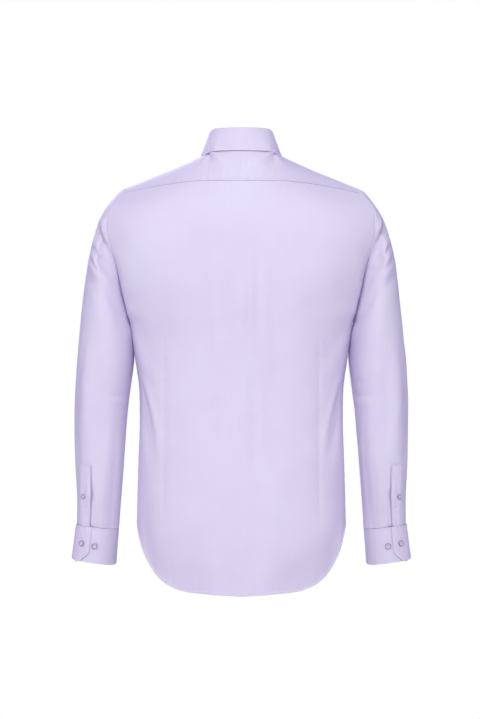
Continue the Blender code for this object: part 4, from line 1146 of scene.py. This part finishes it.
def front_cloth(way):
    """The left front (1), which laps over, or the right one (-1)."""
    base = front_base
    x, z = base[..., 0], base[..., 2]
    bend = creases(x, z, FRONT_CREASES, None if way > 0 else 9) + fold_height(base, FRONT_FOLDS)
    bend += unevenness(base * np.array([way, 1.0, 1.0]), 11, 0.45)
    bend *= off_seams(base, "top end") * smooth_step(np.abs(x), 4.0, 30.0)
    detail = pucker(from_edge(base, "low"), x, 60 + way, 11.0, 0.4, 8.0)
    detail += pucker(from_edge(base, "top"), x, 64 + way, 8.0, 0.3, 4.0)
    detail += pucker(from_edge(base, "end"), z, 67 + way, 11.0, 0.4, 5.0)
    roll, tuck = armhole_roll(from_edge(base, "end"), z)
    grid = out_of(base, -1.0, bend + detail + FRONT_TUCK * roll)
    grid[..., 1] += FRONT_TUCK * tuck
    grid = inset(hemmed(grid, -1.0), "top end")
    if way < 0:
        return mirrored(grid)
    past = FRONT_LAP + LAP_CLEAR
    lift = (WALL + LAP_GAP) * (1.0 - smooth_step(grid[..., 0], past + 1.0, past + 14.0))
    normals = -grid_normals(grid)
    level = unit(normals * np.array([1.0, 1.0, 0.0]))
    return grid + level * (lift / np.sum(level * normals, axis=-1))[..., None]


front_grids = {"left": front_cloth(1), "right": front_cloth(-1)}
for side, grid in front_grids.items():
    cloth(f"front_{side}", grid, WALL, cotton, -1.0, ["yoke_cloth"])
print("fronts:", front_grids["left"].shape)

# %% [markdown]
# ## Sleeves
#
# The sleeve's grid gets its folds like the body's. Behind, the armhole's seam lies in a valley:
# the sleeve stands full beside it and then falls steeply to it, where the body's cloth rolls over.
# The ring that is the armhole has a sharp bend, which is spread over a few rows below it. Closer
# columns lie where the slit opens. The right sleeve is the left one mirrored, with its creases
# varied.

# %% The sleeves' cloth
SLIT_TURNS = [103.9, 104.8, 106.4, 107.2, 108.0]  # degrees of the closer columns beside the slit
VALLEY_FALL, VALLEY_SWELL, VALLEY_REACH = 12.5, 5.5, 22.0
SLEEVE_HEAD, HEAD_REACH = 1.6, 9.0  # how far the sleeve swells just below the shoulder seam
CLOSE, CLOSE_Z = 3.2, -300.0  # how far the sleeve closes up to the body below the underarm

loop = armhole()
RING_TURNS = ring_turns(loop)
TURNS = np.sort(np.concatenate([RING_TURNS, SLIT_TURNS]))
COS, SIN = np.cos(np.radians(TURNS)), np.sin(np.radians(TURNS))
plain = np.stack([[np.interp(TURNS, RING_TURNS, ring[:, k]) for k in range(3)]
                  for ring in sleeve_grid(loop, RING_TURNS)]).transpose(0, 2, 1)


def displaced_sleeve(seed):
    """Grid of a left sleeve with its folds. A seed varies the small ones, for the right sleeve."""
    # the bends are spread from just below the armhole down to the elbow
    weight = smooth_step(from_edge(plain, "low"), 3.0, 20.0)
    weight *= smooth_step(plain[..., 2], -440.0, -380.0)
    base = eased(plain, weight, 0.7 * RINGS_BETWEEN)
    z, behind = base[..., 2], SIN > 0
    from_arm, from_cuff = from_edge(base, "low"), from_edge(base, "top")
    broad = np.where(behind, fold_height(base, SLEEVE_BACK_FOLDS),
                     fold_height(base, SLEEVE_FRONT_FOLDS))
    broad *= np.abs(SIN) ** 0.5 * off_seams(base, "low top", RINGS_BETWEEN / 2)
    fine = creases(TURNS[None, :], z, SLEEVE_CREASES, seed, round_arm=True)
    fine += unevenness(base, 12 if seed is None else 13, 0.5)
    fine *= smooth_step(from_arm, 0.0, 7.0)
    fine += creases(TURNS[None, :], z, SLIT_CREASES, None, round_arm=True)
    along = TURNS[None, :] * ARM_SCALE
    fine += (pucker(from_arm, along, 71, 9.0, 0.45, 5.0)
             + pucker(from_cuff, along, 72, 8.0, 0.6, 7.0))
    fine += SLEEVE_HEAD * np.maximum(-COS, 0.0) ** 3 * hump(from_arm, HEAD_REACH)
    grid = base - grid_normals(base, ring=True) * (broad + fine)[..., None]
    valley = TUCK * np.exp(-from_arm / VALLEY_FALL) - VALLEY_SWELL * hump(from_arm, VALLEY_REACH)
    grid[..., 1] -= tucked(z[:1]) * valley * np.where(behind, 1.0, -FRONT_TUCK)
    beside = np.maximum(COS, 0.0) ** 4 * np.exp(-(((z - CLOSE_Z) / 17.0) ** 2))
    grid[..., 0] -= CLOSE * beside * smooth_step(from_arm, 0.0, 4.0)
    return inset(grid, "low")


print("sleeve, rows by columns:", plain.shape[:2])

# %% [markdown]
# ## Plackets
#
# A slit at the sleeve's end lets the hand through, and the placket is the strip that finishes it.
# It lies on the sleeve, so its points are the sleeve's own, raised by a layer. Its free edge
# stands off a little halfway down, where the slit gapes.

# %% The plackets' form
PLACKET_WIDTH = 25.0
PLACKET_TOP_RING = 9.05  # its upper end, counted in rings of the sleeve's table
PLACKET_FREE_EDGE = 109.0  # degrees round the arm
SLIT_Z, SLIT_LENGTH, SLIT_GAPE = -583.0, 20.0, 3.2  # where and how far the free edge gapes


def on_sleeve(grid, station, turn):
    """Points of a sleeve's grid at a ring and angles round the arm."""
    row = min(station * RINGS_BETWEEN, grid.shape[0] - 1.001)
    i, part = int(row), row - int(row)
    ring = grid[i] + (grid[i + 1] - grid[i]) * part
    return np.stack([np.interp(turn, TURNS, ring[:, k]) for k in range(3)], axis=-1)


def placket_grid(sleeve):
    """The placket's outer face, raised from the sleeve that it is sewn to."""
    rows, share = [], np.linspace(0.0, 1.0, 19)
    for station in np.linspace(RINGS, PLACKET_TOP_RING, 60):
        edge, inner = on_sleeve(sleeve, station, PLACKET_FREE_EDGE + np.array([0.0, 30.0]))
        degree = np.linalg.norm(inner - edge) / 30.0
        rows.append(on_sleeve(sleeve, station, PLACKET_FREE_EDGE + PLACKET_WIDTH / degree * share))
    base = np.stack(rows)
    gape = SLIT_GAPE * np.exp(-(((base[..., 2] - SLIT_Z) / SLIT_LENGTH) ** 2))
    gape = gape * (1 - smooth_step(share, 0, 0.5))
    ripple = pucker(share * PLACKET_WIDTH, base[..., 2], 73, 9.0, 0.25, 4.0)
    return base + grid_normals(base) * (LAP_GAP + BAND_WALL + gape + ripple)[..., None]


print("placket, mm:", PLACKET_WIDTH)

# %% [markdown]
# ## Cuffs
#
# A cuff is a stiff band round the wrist whose flap laps over its other end, with a cut-off corner.
# It keeps its flat cut's shape, so two ovals, at its seam and at its lower edge, and the straight
# lines between them are enough. Turned along the band, the flap lifts over the end below it.

# %% The cuffs' form
CUFF = table(
    "down inner_x inner_z outer_x outer_z depth middle_y",
    (0, 215.2, -646.4, 289.6, -637.4, 40.0, -20),
    (1, 219.6, -709.5, 297.0, -698.5, 41.5, -22))
CUFF_HEIGHT, CUFF_RADIUS = 64.0, 40.0
CUFF_FLAP_END = 103.0 - 360.0  # degrees round the arm, 90 being straight back and 180 outwards
CUFF_UNDER_END = 150.0
CUFF_MITRE = 19.0
CUFF_DROOP = 0.05  # the flap's end hangs lower by this share of the height
CUFF_LIFT = 0.4  # the flap lies this much looser than flat on the under end
CUFF_RAISE = 2.6  # how far its lower edge is raised at the sides


def cuff_grid():
    """The left cuff, from its end under the flap round the arm to the flap's mitred end."""
    share, along = np.linspace(0.0, 1.0, 43)[:, None], np.linspace(0.0, 1.0, 181)
    mitre = math.degrees(CUFF_MITRE / CUFF_RADIUS)
    cut = np.clip((share - (1.0 - CUFF_MITRE / CUFF_HEIGHT)) * CUFF_HEIGHT / CUFF_MITRE, 0.0, 1.0)
    length = CUFF_UNDER_END - CUFF_FLAP_END
    cut = mitre * cut * smooth_step(along, 1 - 2 * mitre / length, 1.0)
    turn = CUFF_UNDER_END - length * along + cut
    droop = 1.0 + CUFF_DROOP * smooth_step(-turn, -CUFF_FLAP_END - 75, -CUFF_FLAP_END)
    row = read(CUFF, "down", share * droop)
    cos, sin = np.cos(np.radians(turn)), np.sin(np.radians(turn))
    inner, outer = (np.stack([row[f"{end}_x"], row[f"{end}_z"]], axis=-1)
                    for end in ("inner", "outer"))
    flat = (inner + outer) / 2 - cos[..., None] * (outer - inner) / 2
    face = np.stack([flat[..., 0], row["middle_y"] + row["depth"] * sin, flat[..., 1]], axis=-1)
    out = np.stack([-cos, sin, np.zeros_like(cos)], axis=-1)
    over = 360.0 - CUFF_UNDER_END
    height = (BAND_WALL + LAP_GAP + CUFF_LIFT) * smooth_step(-turn, over - 38.0, over - 4.0)
    s = turn * math.radians(1.0) * CUFF_RADIUS
    height += pucker(share * CUFF_HEIGHT, s, 74, 8.0, 0.3, 4.0)
    height += pucker((1 - share) * CUFF_HEIGHT, s, 75, 8.0, 0.3, 4.5)
    grid = face + out * height[..., None]
    grid[..., 2] += CUFF_RAISE * share * np.abs(cos) ** 12 - 0.15
    return grid


sleeves, plackets, cuffs = {}, {}, {}
for side, seed in (("left", None), ("right", 21)):
    grid = displaced_sleeve(seed)
    grids = [grid, placket_grid(grid), cuff_grid()]
    sleeves[side], plackets[side], cuffs[side] = grids if side == "left" else map(mirrored, grids)
    cloth(f"sleeve_{side}", sleeves[side], WALL, cotton, -1.0,
          ["back_cloth", "yoke_cloth", f"front_{side}_cloth"], closed=True)
    cloth(f"sleeve_placket_{side}", plackets[side], BAND_WALL, crisp, 1.0, [f"sleeve_{side}_cloth"])
    cloth(f"cuff_{side}", cuffs[side], BAND_WALL, crisp, 1.0, [f"sleeve_{side}_cloth"])
    print(side, "sleeve, placket and cuff:", *(grid.shape[:2] for grid in grids))

# %% [markdown]
# ## The collar
#
# A dress collar has two parts: a stand round the neck, and a leaf that folds over the stand and
# ends in two points. The stand is the neck seam's curve, drawn up and in a little, with rounded
# ends that lap at the throat. The leaf goes up off the stand, over a tight fold and down to its
# outer edge, which a table gives, since there its shape is seen. Bending a flat leaf with a
# modifier would keep its length, but not bring its edge where it lies on the shoulders.

# %% The stand
STAND_HEIGHT = 35.0
STAND_SEAT = 0.5  # its lower edge stands this much clear of the neck seam
STAND_LEAN = 9.7  # how far its upper edge is drawn in
STAND_LAP = 13.0  # its ends go this far past the centre line
STAND_CORNER = 12.0  # over which its ends are rounded
UP = np.array([0.0, 0.0, 1.0])


def stand_point(turn, share):
    """Outer face of the collar stand: share runs from the neck seam (0) to its upper edge (1)."""
    angle, off = np.radians(turn), np.abs(turn)
    height = STAND_HEIGHT - 3.0 * smooth_step(off, 5, 50) - 2.0 * smooth_step(off, 90, 180)
    out = np.stack([np.sin(angle), np.cos(angle), np.zeros_like(angle)], axis=-1)
    lift = (STAND_SEAT + height * share)[..., None] * UP
    return neck_point(turn) + lift - out * (STAND_LEAN * share)[..., None], out


def stand_grid():
    """The stand, from its right end under the lap to its left end over it."""
    reach = 180.0 + math.degrees(STAND_LAP / NECK_HALF_WIDTH)
    turns = np.linspace(-reach, reach, 241)
    from_end = (reach - np.abs(turns)) * math.radians(1.0) * NECK_HALF_WIDTH
    round_end = np.sqrt(1.0 - (1.0 - np.clip(from_end / STAND_CORNER, 0.0, 1.0)) ** 2)
    share = np.linspace(0.0, 1.0, 19)[:, None] * (0.55 + 0.45 * round_end)
    outer, out = stand_point(np.broadcast_to(turns, share.shape), share)
    lapped = (BAND_WALL + LAP_GAP) * smooth_step(turns, 540 - 2 * reach, 361 - reach)
    return outer + out * lapped[:, None]


stand = stand_grid()
cloth("collar_stand", stand, BAND_WALL, crisp, 1.0, ["yoke_cloth"])
print("stand:", stand.shape)

# %% The leaf
LEAF_SEAT = 0.6  # the leaf starts this much above the stand's upper edge
LEAF_FOLD = 1.0  # inner radius of the fold over the stand
LEAF_LEAN = 0.40  # how far the leaf leaves the fold outwards, to 1 down
LEAF_FRONT = 174.0  # degrees round the neck to the leaf's front edge
# the leaf's outer edge, against the angle round the neck where its fold is
LEAF_EDGE = table(
    "turn x y z",
    (0, 0, 63.6, 12.2), (30, 34.0, 59.0, 11.8), (46, 49.9, 53.9, 11.4), (58, 59.0, 42.9, 8.5),
    (71, 66.4, 26.5, 5.8), (85, 71.2, 8, 5.2), (110, 75, -31, -11.4), (135, 69.5, -61, -43),
    (155, 60.5, -80, -67.5), (174, 49, -91, -91))


def leaf_grid():
    """The leaf's outer face: up off the stand, over the fold and down to its outer edge."""
    turns = np.linspace(-LEAF_FRONT, LEAF_FRONT, 193)
    edge = read(LEAF_EDGE, "turn", np.abs(turns))
    rim = np.stack([edge["x"] * np.sign(turns), edge["y"], edge["z"]], axis=-1)
    seat, out = stand_point(turns, np.ones_like(turns))
    lapped = (BAND_WALL + LAP_GAP) * smooth_step(turns, 150, 168)
    seat = seat + UP * LEAF_SEAT + out * (LEAF_FOLD + lapped)[:, None]
    radius = LEAF_FOLD + BAND_WALL
    rows = [seat + out * radius * math.cos(a) + UP * radius * math.sin(a)
            for a in np.linspace(math.pi, 0.0, 13)]
    start, chord = rows[-1], np.linalg.norm(rim - rows[-1], axis=-1, keepdims=True)
    rows += [hermite(start, rim, unit(out * LEAF_LEAN - UP) * chord, (rim - start) * 1.05, t)
             for t in np.linspace(0.0, 1.0, 37)[1:]]
    leaf = np.stack(rows)
    down = from_edge(leaf, "low")
    round_neck = turns * math.radians(1.0) * NECK_HALF_WIDTH
    detail = pucker(from_edge(leaf, "top"), round_neck, 81, 9.0, 0.28, 5.5)
    for end in ("start", "end"):
        detail += pucker(from_edge(leaf, end), down, 82, 9.0, 0.2, 5.5)
    return out_of(leaf, -1.0, detail * smooth_step(down, 10.0, 24.0))


leaf = leaf_grid()
cloth("collar_fall", leaf, BAND_WALL, crisp, -1.0, ["collar_stand_cloth"])
print("leaf:", leaf.shape)

# %% [markdown]
# ## Topstitching
#
# Seams of a dress shirt are stitched once more from outside, 1.6 and 7 mm from the edge, and the
# collar and the cuffs at 5.5 mm. From close by, each stitch is a short bar of thread that dips
# into the cloth at both ends. A dashed line in the material would lie flat, so each stitch is a
# copy of one small four-sided rod, bent over the cloth. All the stitches of a group are one mesh.

# %% One stitch, and rows of them
STITCH, STITCH_GAP = 2.3, 0.7
THREAD_RADIUS, THREAD_RISE = 0.2, 0.16
SUNK = 0.12  # how deep the ends of a stitch lie in the cloth


def stitch_rod():
    """A four-sided rod along z, with a ring of points at its middle."""
    mesh = bmesh.new()
    bmesh.ops.create_cone(mesh, cap_ends=True, segments=4, radius1=1.0, radius2=1.0, depth=2.0)
    lengthwise = [e for e in mesh.edges if abs(e.verts[0].co.z - e.verts[1].co.z) > 1.0]
    bmesh.ops.subdivide_edges(mesh, edges=lengthwise, cuts=1, use_grid_fill=True)
    return mesh_data(mesh, "stitch")


rod = stitch_rod()
ROD = np.array([v.co for v in rod.vertices])
ROD_RING = np.round(ROD[:, 2] + 1).astype(int)


def bars(start, end, out, radius, rise):
    """The rod's corners for stitches from start to end, thinner and sunk at their ends."""
    out = unit(out)
    across = unit(np.cross(out, end - start))
    spine = np.stack([start - out * SUNK, (start + end) / 2 + out * rise, end - out * SUNK], axis=1)
    thick = radius * np.array([0.75, 1.1, 0.75])[ROD_RING, None] * ROD
    return spine[:, ROD_RING] + across[:, None] * thick[:, :1] + out[:, None] * thick[:, 1:2]


def stitches_on(line, facing):
    """A row of stitches along a line, with the outward directions along it."""
    run = np.concatenate([[0.0], np.cumsum(np.linalg.norm(np.diff(line, axis=0), axis=1))])
    pitch = STITCH + STITCH_GAP
    count = int(run[-1] / pitch)
    first = (run[-1] - count * pitch + STITCH_GAP) / 2 + np.arange(count) * pitch

    def at(field, place):
        return np.stack([np.interp(place, run, field[:, k]) for k in range(3)], axis=-1)

    return bars(at(line, first), at(line, first + STITCH), at(facing, first + STITCH / 2),
                THREAD_RADIUS, THREAD_RISE)


def stitched(grid, outward, edge, distance, trim=(0, 0)):
    """A row of stitches at a distance from one edge of a grid, without trim's lines at its ends."""
    normals = outward * grid_normals(grid)
    grid, facing, run = (next(by_edges(field, edge))
                         for field in (grid, normals, from_edge(grid, edge)))
    line = np.array([[np.interp(distance, run[:, j], field[:, j, k])
                      for field in (grid, facing) for k in range(3)]
                     for j in range(trim[0], grid.shape[1] - trim[1])])
    return stitches_on(line[:, :3], line[:, 3:])


def sewn(name, parts):
    """All the stitches of a seam group as one piece."""
    corners = np.concatenate(parts)
    mesh = bmesh.new()
    for _ in corners:
        mesh.from_mesh(rod)
    data = mesh_data(mesh, name)
    data.vertices.foreach_set("co", (corners * MM).ravel())
    data.update()
    data.shade_smooth()
    add_piece(name, data, sewing)
    print(name, len(corners), "stitches")


print("a stitch, points:", len(ROD))

# %% The seams
NEAR, FAR = 1.6, 7.0  # the two lines of a double-stitched seam, from the edge
YOKE_LINE = 3.2  # the yoke's line, from its edge
HEM_LINE = HEM_DEPTH - 1.0
TOPSTITCH = 5.5  # of the collar and the cuffs, from the edge
PLACKET_LINE = 24.0  # the line across a placket, from its upper end
ARM_ROW = LOW_ROWS + len(HEM_LINES)  # where the side seam ends and the armhole begins

lines = [stitched(yoke_grid, 1.0, "low", YOKE_LINE), stitched(back_grid, 1.0, "low", HEM_LINE)]
lines += [stitched(grid, -1.0, "low", HEM_LINE) for grid in front_grids.values()]
for side, edge in (("left", "end"), ("right", "start")):
    lines += [stitched(front_grids[side], -1.0, edge, away, (ARM_ROW, 0)) for away in (NEAR, FAR)]
past_neck = yoke_grid.shape[1] - SEAM_COLUMNS - 1
for edge, trim in (("start", (0, past_neck)), ("end", (past_neck, 0))):
    lines.append(stitched(yoke_grid, 1.0, "top", YOKE_LINE, trim))
    for away in (NEAR, FAR):
        lines.append(stitched(back_grid, 1.0, edge, away, (0, len(back_grid) - ARM_ROW)))
        lines.append(stitched(back_grid, 1.0, edge, away, (ARM_ROW, 0)))
        lines.append(stitched(yoke_grid, 1.0, edge, away))
sewn("stitches_body", lines)

lines = [stitched(leaf, -1.0, "top", TOPSTITCH, (4, 4))]
lines += [stitched(leaf, -1.0, edge, TOPSTITCH, (14, 5)) for edge in ("start", "end")]
lines += [stitched(stand, 1.0, edge, NEAR, (3, 3)) for edge in ("low", "top")]
sewn("stitches_collar", lines)

for side, column in (("left", -3), ("right", 2)):
    arm, strip, band = sleeves[side], plackets[side], cuffs[side]
    lines = []
    for long_edge, end, rim in (("low", "start", NEAR), ("top", "end", TOPSTITCH)):
        lines.append(stitched(band, 1.0, long_edge, rim, (5, 5)))
        lines.append(stitched(band, 1.0, end, TOPSTITCH, (2, 3)))
        lines.append(stitched(strip, 1.0, end, NEAR))
    lines += [stitched(strip, 1.0, "top", away, (1, 1)) for away in (NEAR, PLACKET_LINE)]
    facing = -grid_normals(arm, ring=True)
    lines.append(stitches_on(arm[3:-2, column], facing[3:-2, column]))
    sewn(f"stitches_sleeve_{side}", lines)

# %% [markdown]
# ## Buttons
#
# A shirt button is turned from a sheet of resin: a disc with a raised rim and a hollow, then
# drilled with four holes. So its outline is spun round its axis, and four pins cut the holes with
# a Boolean. Each one takes its place and its axis from its solid, and two bars of thread hold it.

# %% A turned button
LARGE, SMALL = (5.4, 2.6), (4.7, 2.3)  # radius and thickness; the small ones close the plackets
OUTLINE = ((0.0, 0.0), (0.78, 0.0), (0.94, 0.16), (1.0, 0.40), (0.985, 0.70), (0.92, 0.92),
           (0.82, 1.0), (0.71, 0.93), (0.62, 0.72), (0.50, 0.60), (0.30, 0.56), (0.0, 0.56))
HOLLOW = OUTLINE[-1][1]  # height of its middle
HOLE_RADIUS, HOLE_OFFSET = 0.55, 1.15


def turned_button(radius, thick):
    """A button's mesh, in millimetres, with its underside on z = 0."""
    mesh = bmesh.new()
    points = [mesh.verts.new((r * radius, 0.0, h * thick)) for r, h in OUTLINE]
    edges = [mesh.edges.new(pair) for pair in zip(points, points[1:])]
    bmesh.ops.spin(mesh, geom=points + edges, cent=(0, 0, 0), axis=(0, 0, 1), angle=2 * math.pi,
                   steps=48, use_merge=True)
    bmesh.ops.remove_doubles(mesh, verts=mesh.verts, dist=1e-4)
    bmesh.ops.recalc_face_normals(mesh, faces=mesh.faces)
    whole = linked("blank", mesh_data(mesh, "blank"))
    mesh = bmesh.new()
    for x, y in ((1, 1), (-1, 1), (-1, -1), (1, -1)):
        spot = Matrix.Translation((x * HOLE_OFFSET, y * HOLE_OFFSET, 0.0))
        bmesh.ops.create_cone(mesh, cap_ends=True, segments=16, radius1=HOLE_RADIUS,
                              radius2=HOLE_RADIUS, depth=4 * thick, matrix=spot)
    pins = linked("drill", mesh_data(mesh, "drill"))
    cut = whole.modifiers.new("holes", "BOOLEAN")
    cut.object, cut.operation, cut.solver = pins, "DIFFERENCE", "EXACT"
    evaluated = whole.evaluated_get(bpy.context.evaluated_depsgraph_get())
    drilled = bpy.data.meshes.new_from_object(evaluated)
    for thing in (whole, pins):
        bpy.data.meshes.remove(thing.data)
    share = drilled.attributes.new("from_middle", "FLOAT", "POINT")
    for vert, value in zip(drilled.vertices, share.data):
        value.value = math.hypot(vert.co.x, vert.co.y) / radius
    return drilled


masters = {size: turned_button(*size) for size in (LARGE, SMALL)}
print("a button's faces:", len(masters[LARGE].polygons))

# %% Placing and sewing on the buttons
ARM_X, ARM_Y = 254.0, -20.0  # middle of the arm, which the sleeves' buttons face away from
THREAD_STEP = 0.24  # between the three threads of a bar
BAR_END = 0.25  # how far a bar goes past a hole's middle
BAR_RADIUS, BAR_RISE = 0.17, 0.38


def axis_of(name):
    """The middle of a button's underside and its outward axis, in millimetres, from its solid."""
    points = np.array([v.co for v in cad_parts[name].data.vertices]) / MM
    points = np.unique(points.round(3), axis=0)
    centre = (points.min(axis=0) + points.max(axis=0)) / 2
    axis = np.linalg.svd(points - points.mean(axis=0))[2][2]
    on_arm = name.endswith(("left", "right"))
    hub = [math.copysign(ARM_X, centre[0]), ARM_Y, centre[2]] if on_arm else [0, 0, centre[2]]
    axis = axis * np.sign(axis @ (centre - np.array(hub)))
    return centre + axis * ((points - centre) @ axis).min(), axis


feet = {}
names = sorted(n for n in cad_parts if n.startswith("button_"))
bar_parts = []
for name, spin in zip(names, np.random.default_rng(5).uniform(-0.25, 0.25, len(names))):
    foot, axis = feet[name] = axis_of(name)
    size = SMALL if "placket" in name else LARGE
    upright = Vector(axis).to_track_quat("Z", "Y").to_matrix().to_4x4()
    place = Matrix.Translation(Vector(foot) * MM) @ upright @ Matrix.Rotation(float(spin), 4, "Z")
    data = masters[size].copy()
    data.transform(place @ Matrix.Scale(MM, 4))
    data.shade_smooth()
    data.set_sharp_from_angle(angle=math.radians(35))
    piece = add_piece(f"{name}_turned", data, resin)
    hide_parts(name)
    seat = foot + axis * size[1] * HOLLOW
    way, along = np.array(place.to_3x3().transposed())[:2]
    for row in (-HOLE_OFFSET, HOLE_OFFSET):
        for thread in (-THREAD_STEP, 0.0, THREAD_STEP):
            middle, reach = seat + way * (row + thread), along * (HOLE_OFFSET + BAR_END)
            bar_parts.append(bars((middle - reach)[None], (middle + reach)[None], axis[None],
                                  BAR_RADIUS, BAR_RISE))
sewn("button_threads", bar_parts)

# %% [markdown]
# ## Buttonholes
#
# A buttonhole is a slit between two rows of dense thread, with a bar across each end. The slits
# stay closed, so only the thread shows: upright on the front and the plackets, level on the collar
# and the cuffs, where it follows the band's bend. The spare buttons have none.

# %% The buttonholes
BUTTONHOLE, DENSE_STEP = 14.5, 0.42
SLIT_HALF, BEAD = 0.2, 1.3  # from the middle to the slit's edge, and to the outside of the threads
BEND = {True: 45.0, False: 900.0}  # radius of the cloth along a level or an upright buttonhole

hole_parts = []
for name, (foot, axis) in feet.items():
    if "spare" in name:
        continue
    across = unit(np.cross(axis, [0.0, 0.0, 1.0]))
    upright = unit(np.cross(across, axis))
    level = "collar" in name or "cuff" in name
    run, side = (across, upright) if level else (upright, across)
    s = np.arange(-BUTTONHOLE / 2, BUTTONHOLE / 2, DENSE_STEP)[:, None]
    middle = foot - axis * 0.35 + run * s - axis * (s * s / (2 * BEND[level]))
    out = np.broadcast_to(axis, middle.shape)
    for hand in (-side, side):
        hole_parts.append(bars(middle + hand * SLIT_HALF, middle + hand * BEAD, out, 0.22, 0.22))
    ends = middle[[0, 1, -2, -1]]
    hole_parts.append(bars(ends - side * BEAD, ends + side * BEAD, out[:4], 0.24, 0.3))
sewn("buttonholes", hole_parts)
for mesh in (*masters.values(), rod):
    bpy.data.meshes.remove(mesh)

# %% [markdown]
# ## Floor, light and camera
#
# Shirts are shown on a white sweep, with light from all round and few shadows. A bright room does
# most of it, brighter above than below, so folds still have a lighter and a darker side. A broad
# soft lamp on the camera's side, one at each side and one in front of the shirt fill it in. The
# camera stands far off and looks level and straight at the back, so the shirt's proportions stay
# true. The floor is a pale disc far below the hem, matt so that it only sends soft light back.

# %% The floor
FLOOR_Z, FLOOR_RADIUS = -1.30, 1.6
FLOOR, FLOOR_SPECK = "#d0cdd6", "#d8d5de"
SPECK = 25.0  # mm

mesh = bmesh.new()
bmesh.ops.create_circle(mesh, cap_ends=True, segments=96, radius=FLOOR_RADIUS)
bmesh.ops.translate(mesh, verts=mesh.verts, vec=(0.0, 0.0, FLOOR_Z))
floor = linked("floor", mesh_data(mesh, "floor"))
material, tree, shader = new_material("pale floor, matt paint", {"Roughness": 0.9})
room = node(tree, "ShaderNodeTexCoord").outputs["Object"]
speck = node(tree, "ShaderNodeTexNoise", {"Vector": room, "Scale": 1 / (SPECK * MM), "Detail": 3.0})
mix = node(tree, "ShaderNodeMix", {"Factor": speck.outputs[0], "A": colour(FLOOR),
                                   "B": colour(FLOOR_SPECK)}, data_type="RGBA")
tree.links.new(mix.outputs["Result"], shader.inputs["Base Color"])
floor.data.materials.append(material)
print("floor at", FLOOR_Z, "m")

# %% The white room and the lamps
world = bpy.data.worlds.new("white room")
scene.world = world
world.use_nodes = True
tree = world.node_tree
tree.nodes.clear()
# the room itself looks white, and lights the shirt softly lavender, most of all from above
seen = node(tree, "ShaderNodeBackground", {"Color": (1, 1, 1, 1), "Strength": 1.0})
way = node(tree, "ShaderNodeTexCoord").outputs["Generated"]
height = node(tree, "ShaderNodeSeparateXYZ", {0: way})
above = node(tree, "ShaderNodeMapRange", {"Value": height.outputs["Z"], "From Min": -1.0,
                                          "From Max": 1.0, "To Min": 0.08, "To Max": 0.62})
lit = node(tree, "ShaderNodeBackground", {"Color": colour("#e8e2ff"),
                                          "Strength": above.outputs["Result"]})
path = node(tree, "ShaderNodeLightPath")
both = node(tree, "ShaderNodeMixShader", {0: path.outputs["Is Camera Ray"], 1: lit.outputs[0],
                                          2: seen.outputs[0]})
node(tree, "ShaderNodeOutputWorld", {"Surface": both.outputs[0]})

# each lamp's place, what it is aimed at, its size in metres and its power in watts
LAMPS = {
    "broad light": ((0.15, 2.9, 0.85), (0.0, 0.0, 0.05), 1.7, 63.0),
    "left light": ((3.0, 1.3, 0.3), (0.0, 0.0, -0.4), 1.6, 15.0),
    "right light": ((-3.0, 1.3, 0.3), (0.0, 0.0, -0.4), 1.6, 15.0),
    "front light": ((0.9, -3.1, 1.5), (0.0, 0.0, -0.35), 1.3, 85.0),
}
for name, (place, aim, size, power) in LAMPS.items():
    lamp = bpy.data.lights.new(name, "AREA")
    lamp.shape, lamp.size, lamp.energy = "DISK", size, power
    holder = linked(name, lamp)
    holder.location = place
    holder.rotation_euler = (Vector(aim) - Vector(place)).to_track_quat("-Z", "Y").to_euler()
print("lamps:", ", ".join(LAMPS))

# %% The camera
CAMERA_DISTANCE = 4.5
SENSOR = 36.0
FRAME_HEIGHT = 719  # pixels
PIXEL = 0.00175  # metres that a pixel covers at the origin's depth
VIEW_CENTRE = Vector((0.00227, 0.0, -0.349125))

lens = bpy.data.cameras.new("camera")
lens.sensor_fit, lens.sensor_width = "AUTO", SENSOR
lens.lens = SENSOR * CAMERA_DISTANCE / (FRAME_HEIGHT * PIXEL)
lens.clip_end = 30.0
camera = linked("camera", lens)
camera.location = VIEW_CENTRE + Vector((0.0, CAMERA_DISTANCE, 0.0))
camera.rotation_euler = (math.pi / 2, 0.0, math.pi)
scene.camera = camera
scene.view_settings.view_transform = "Standard"
print("lens, mm:", round(lens.lens, 1))
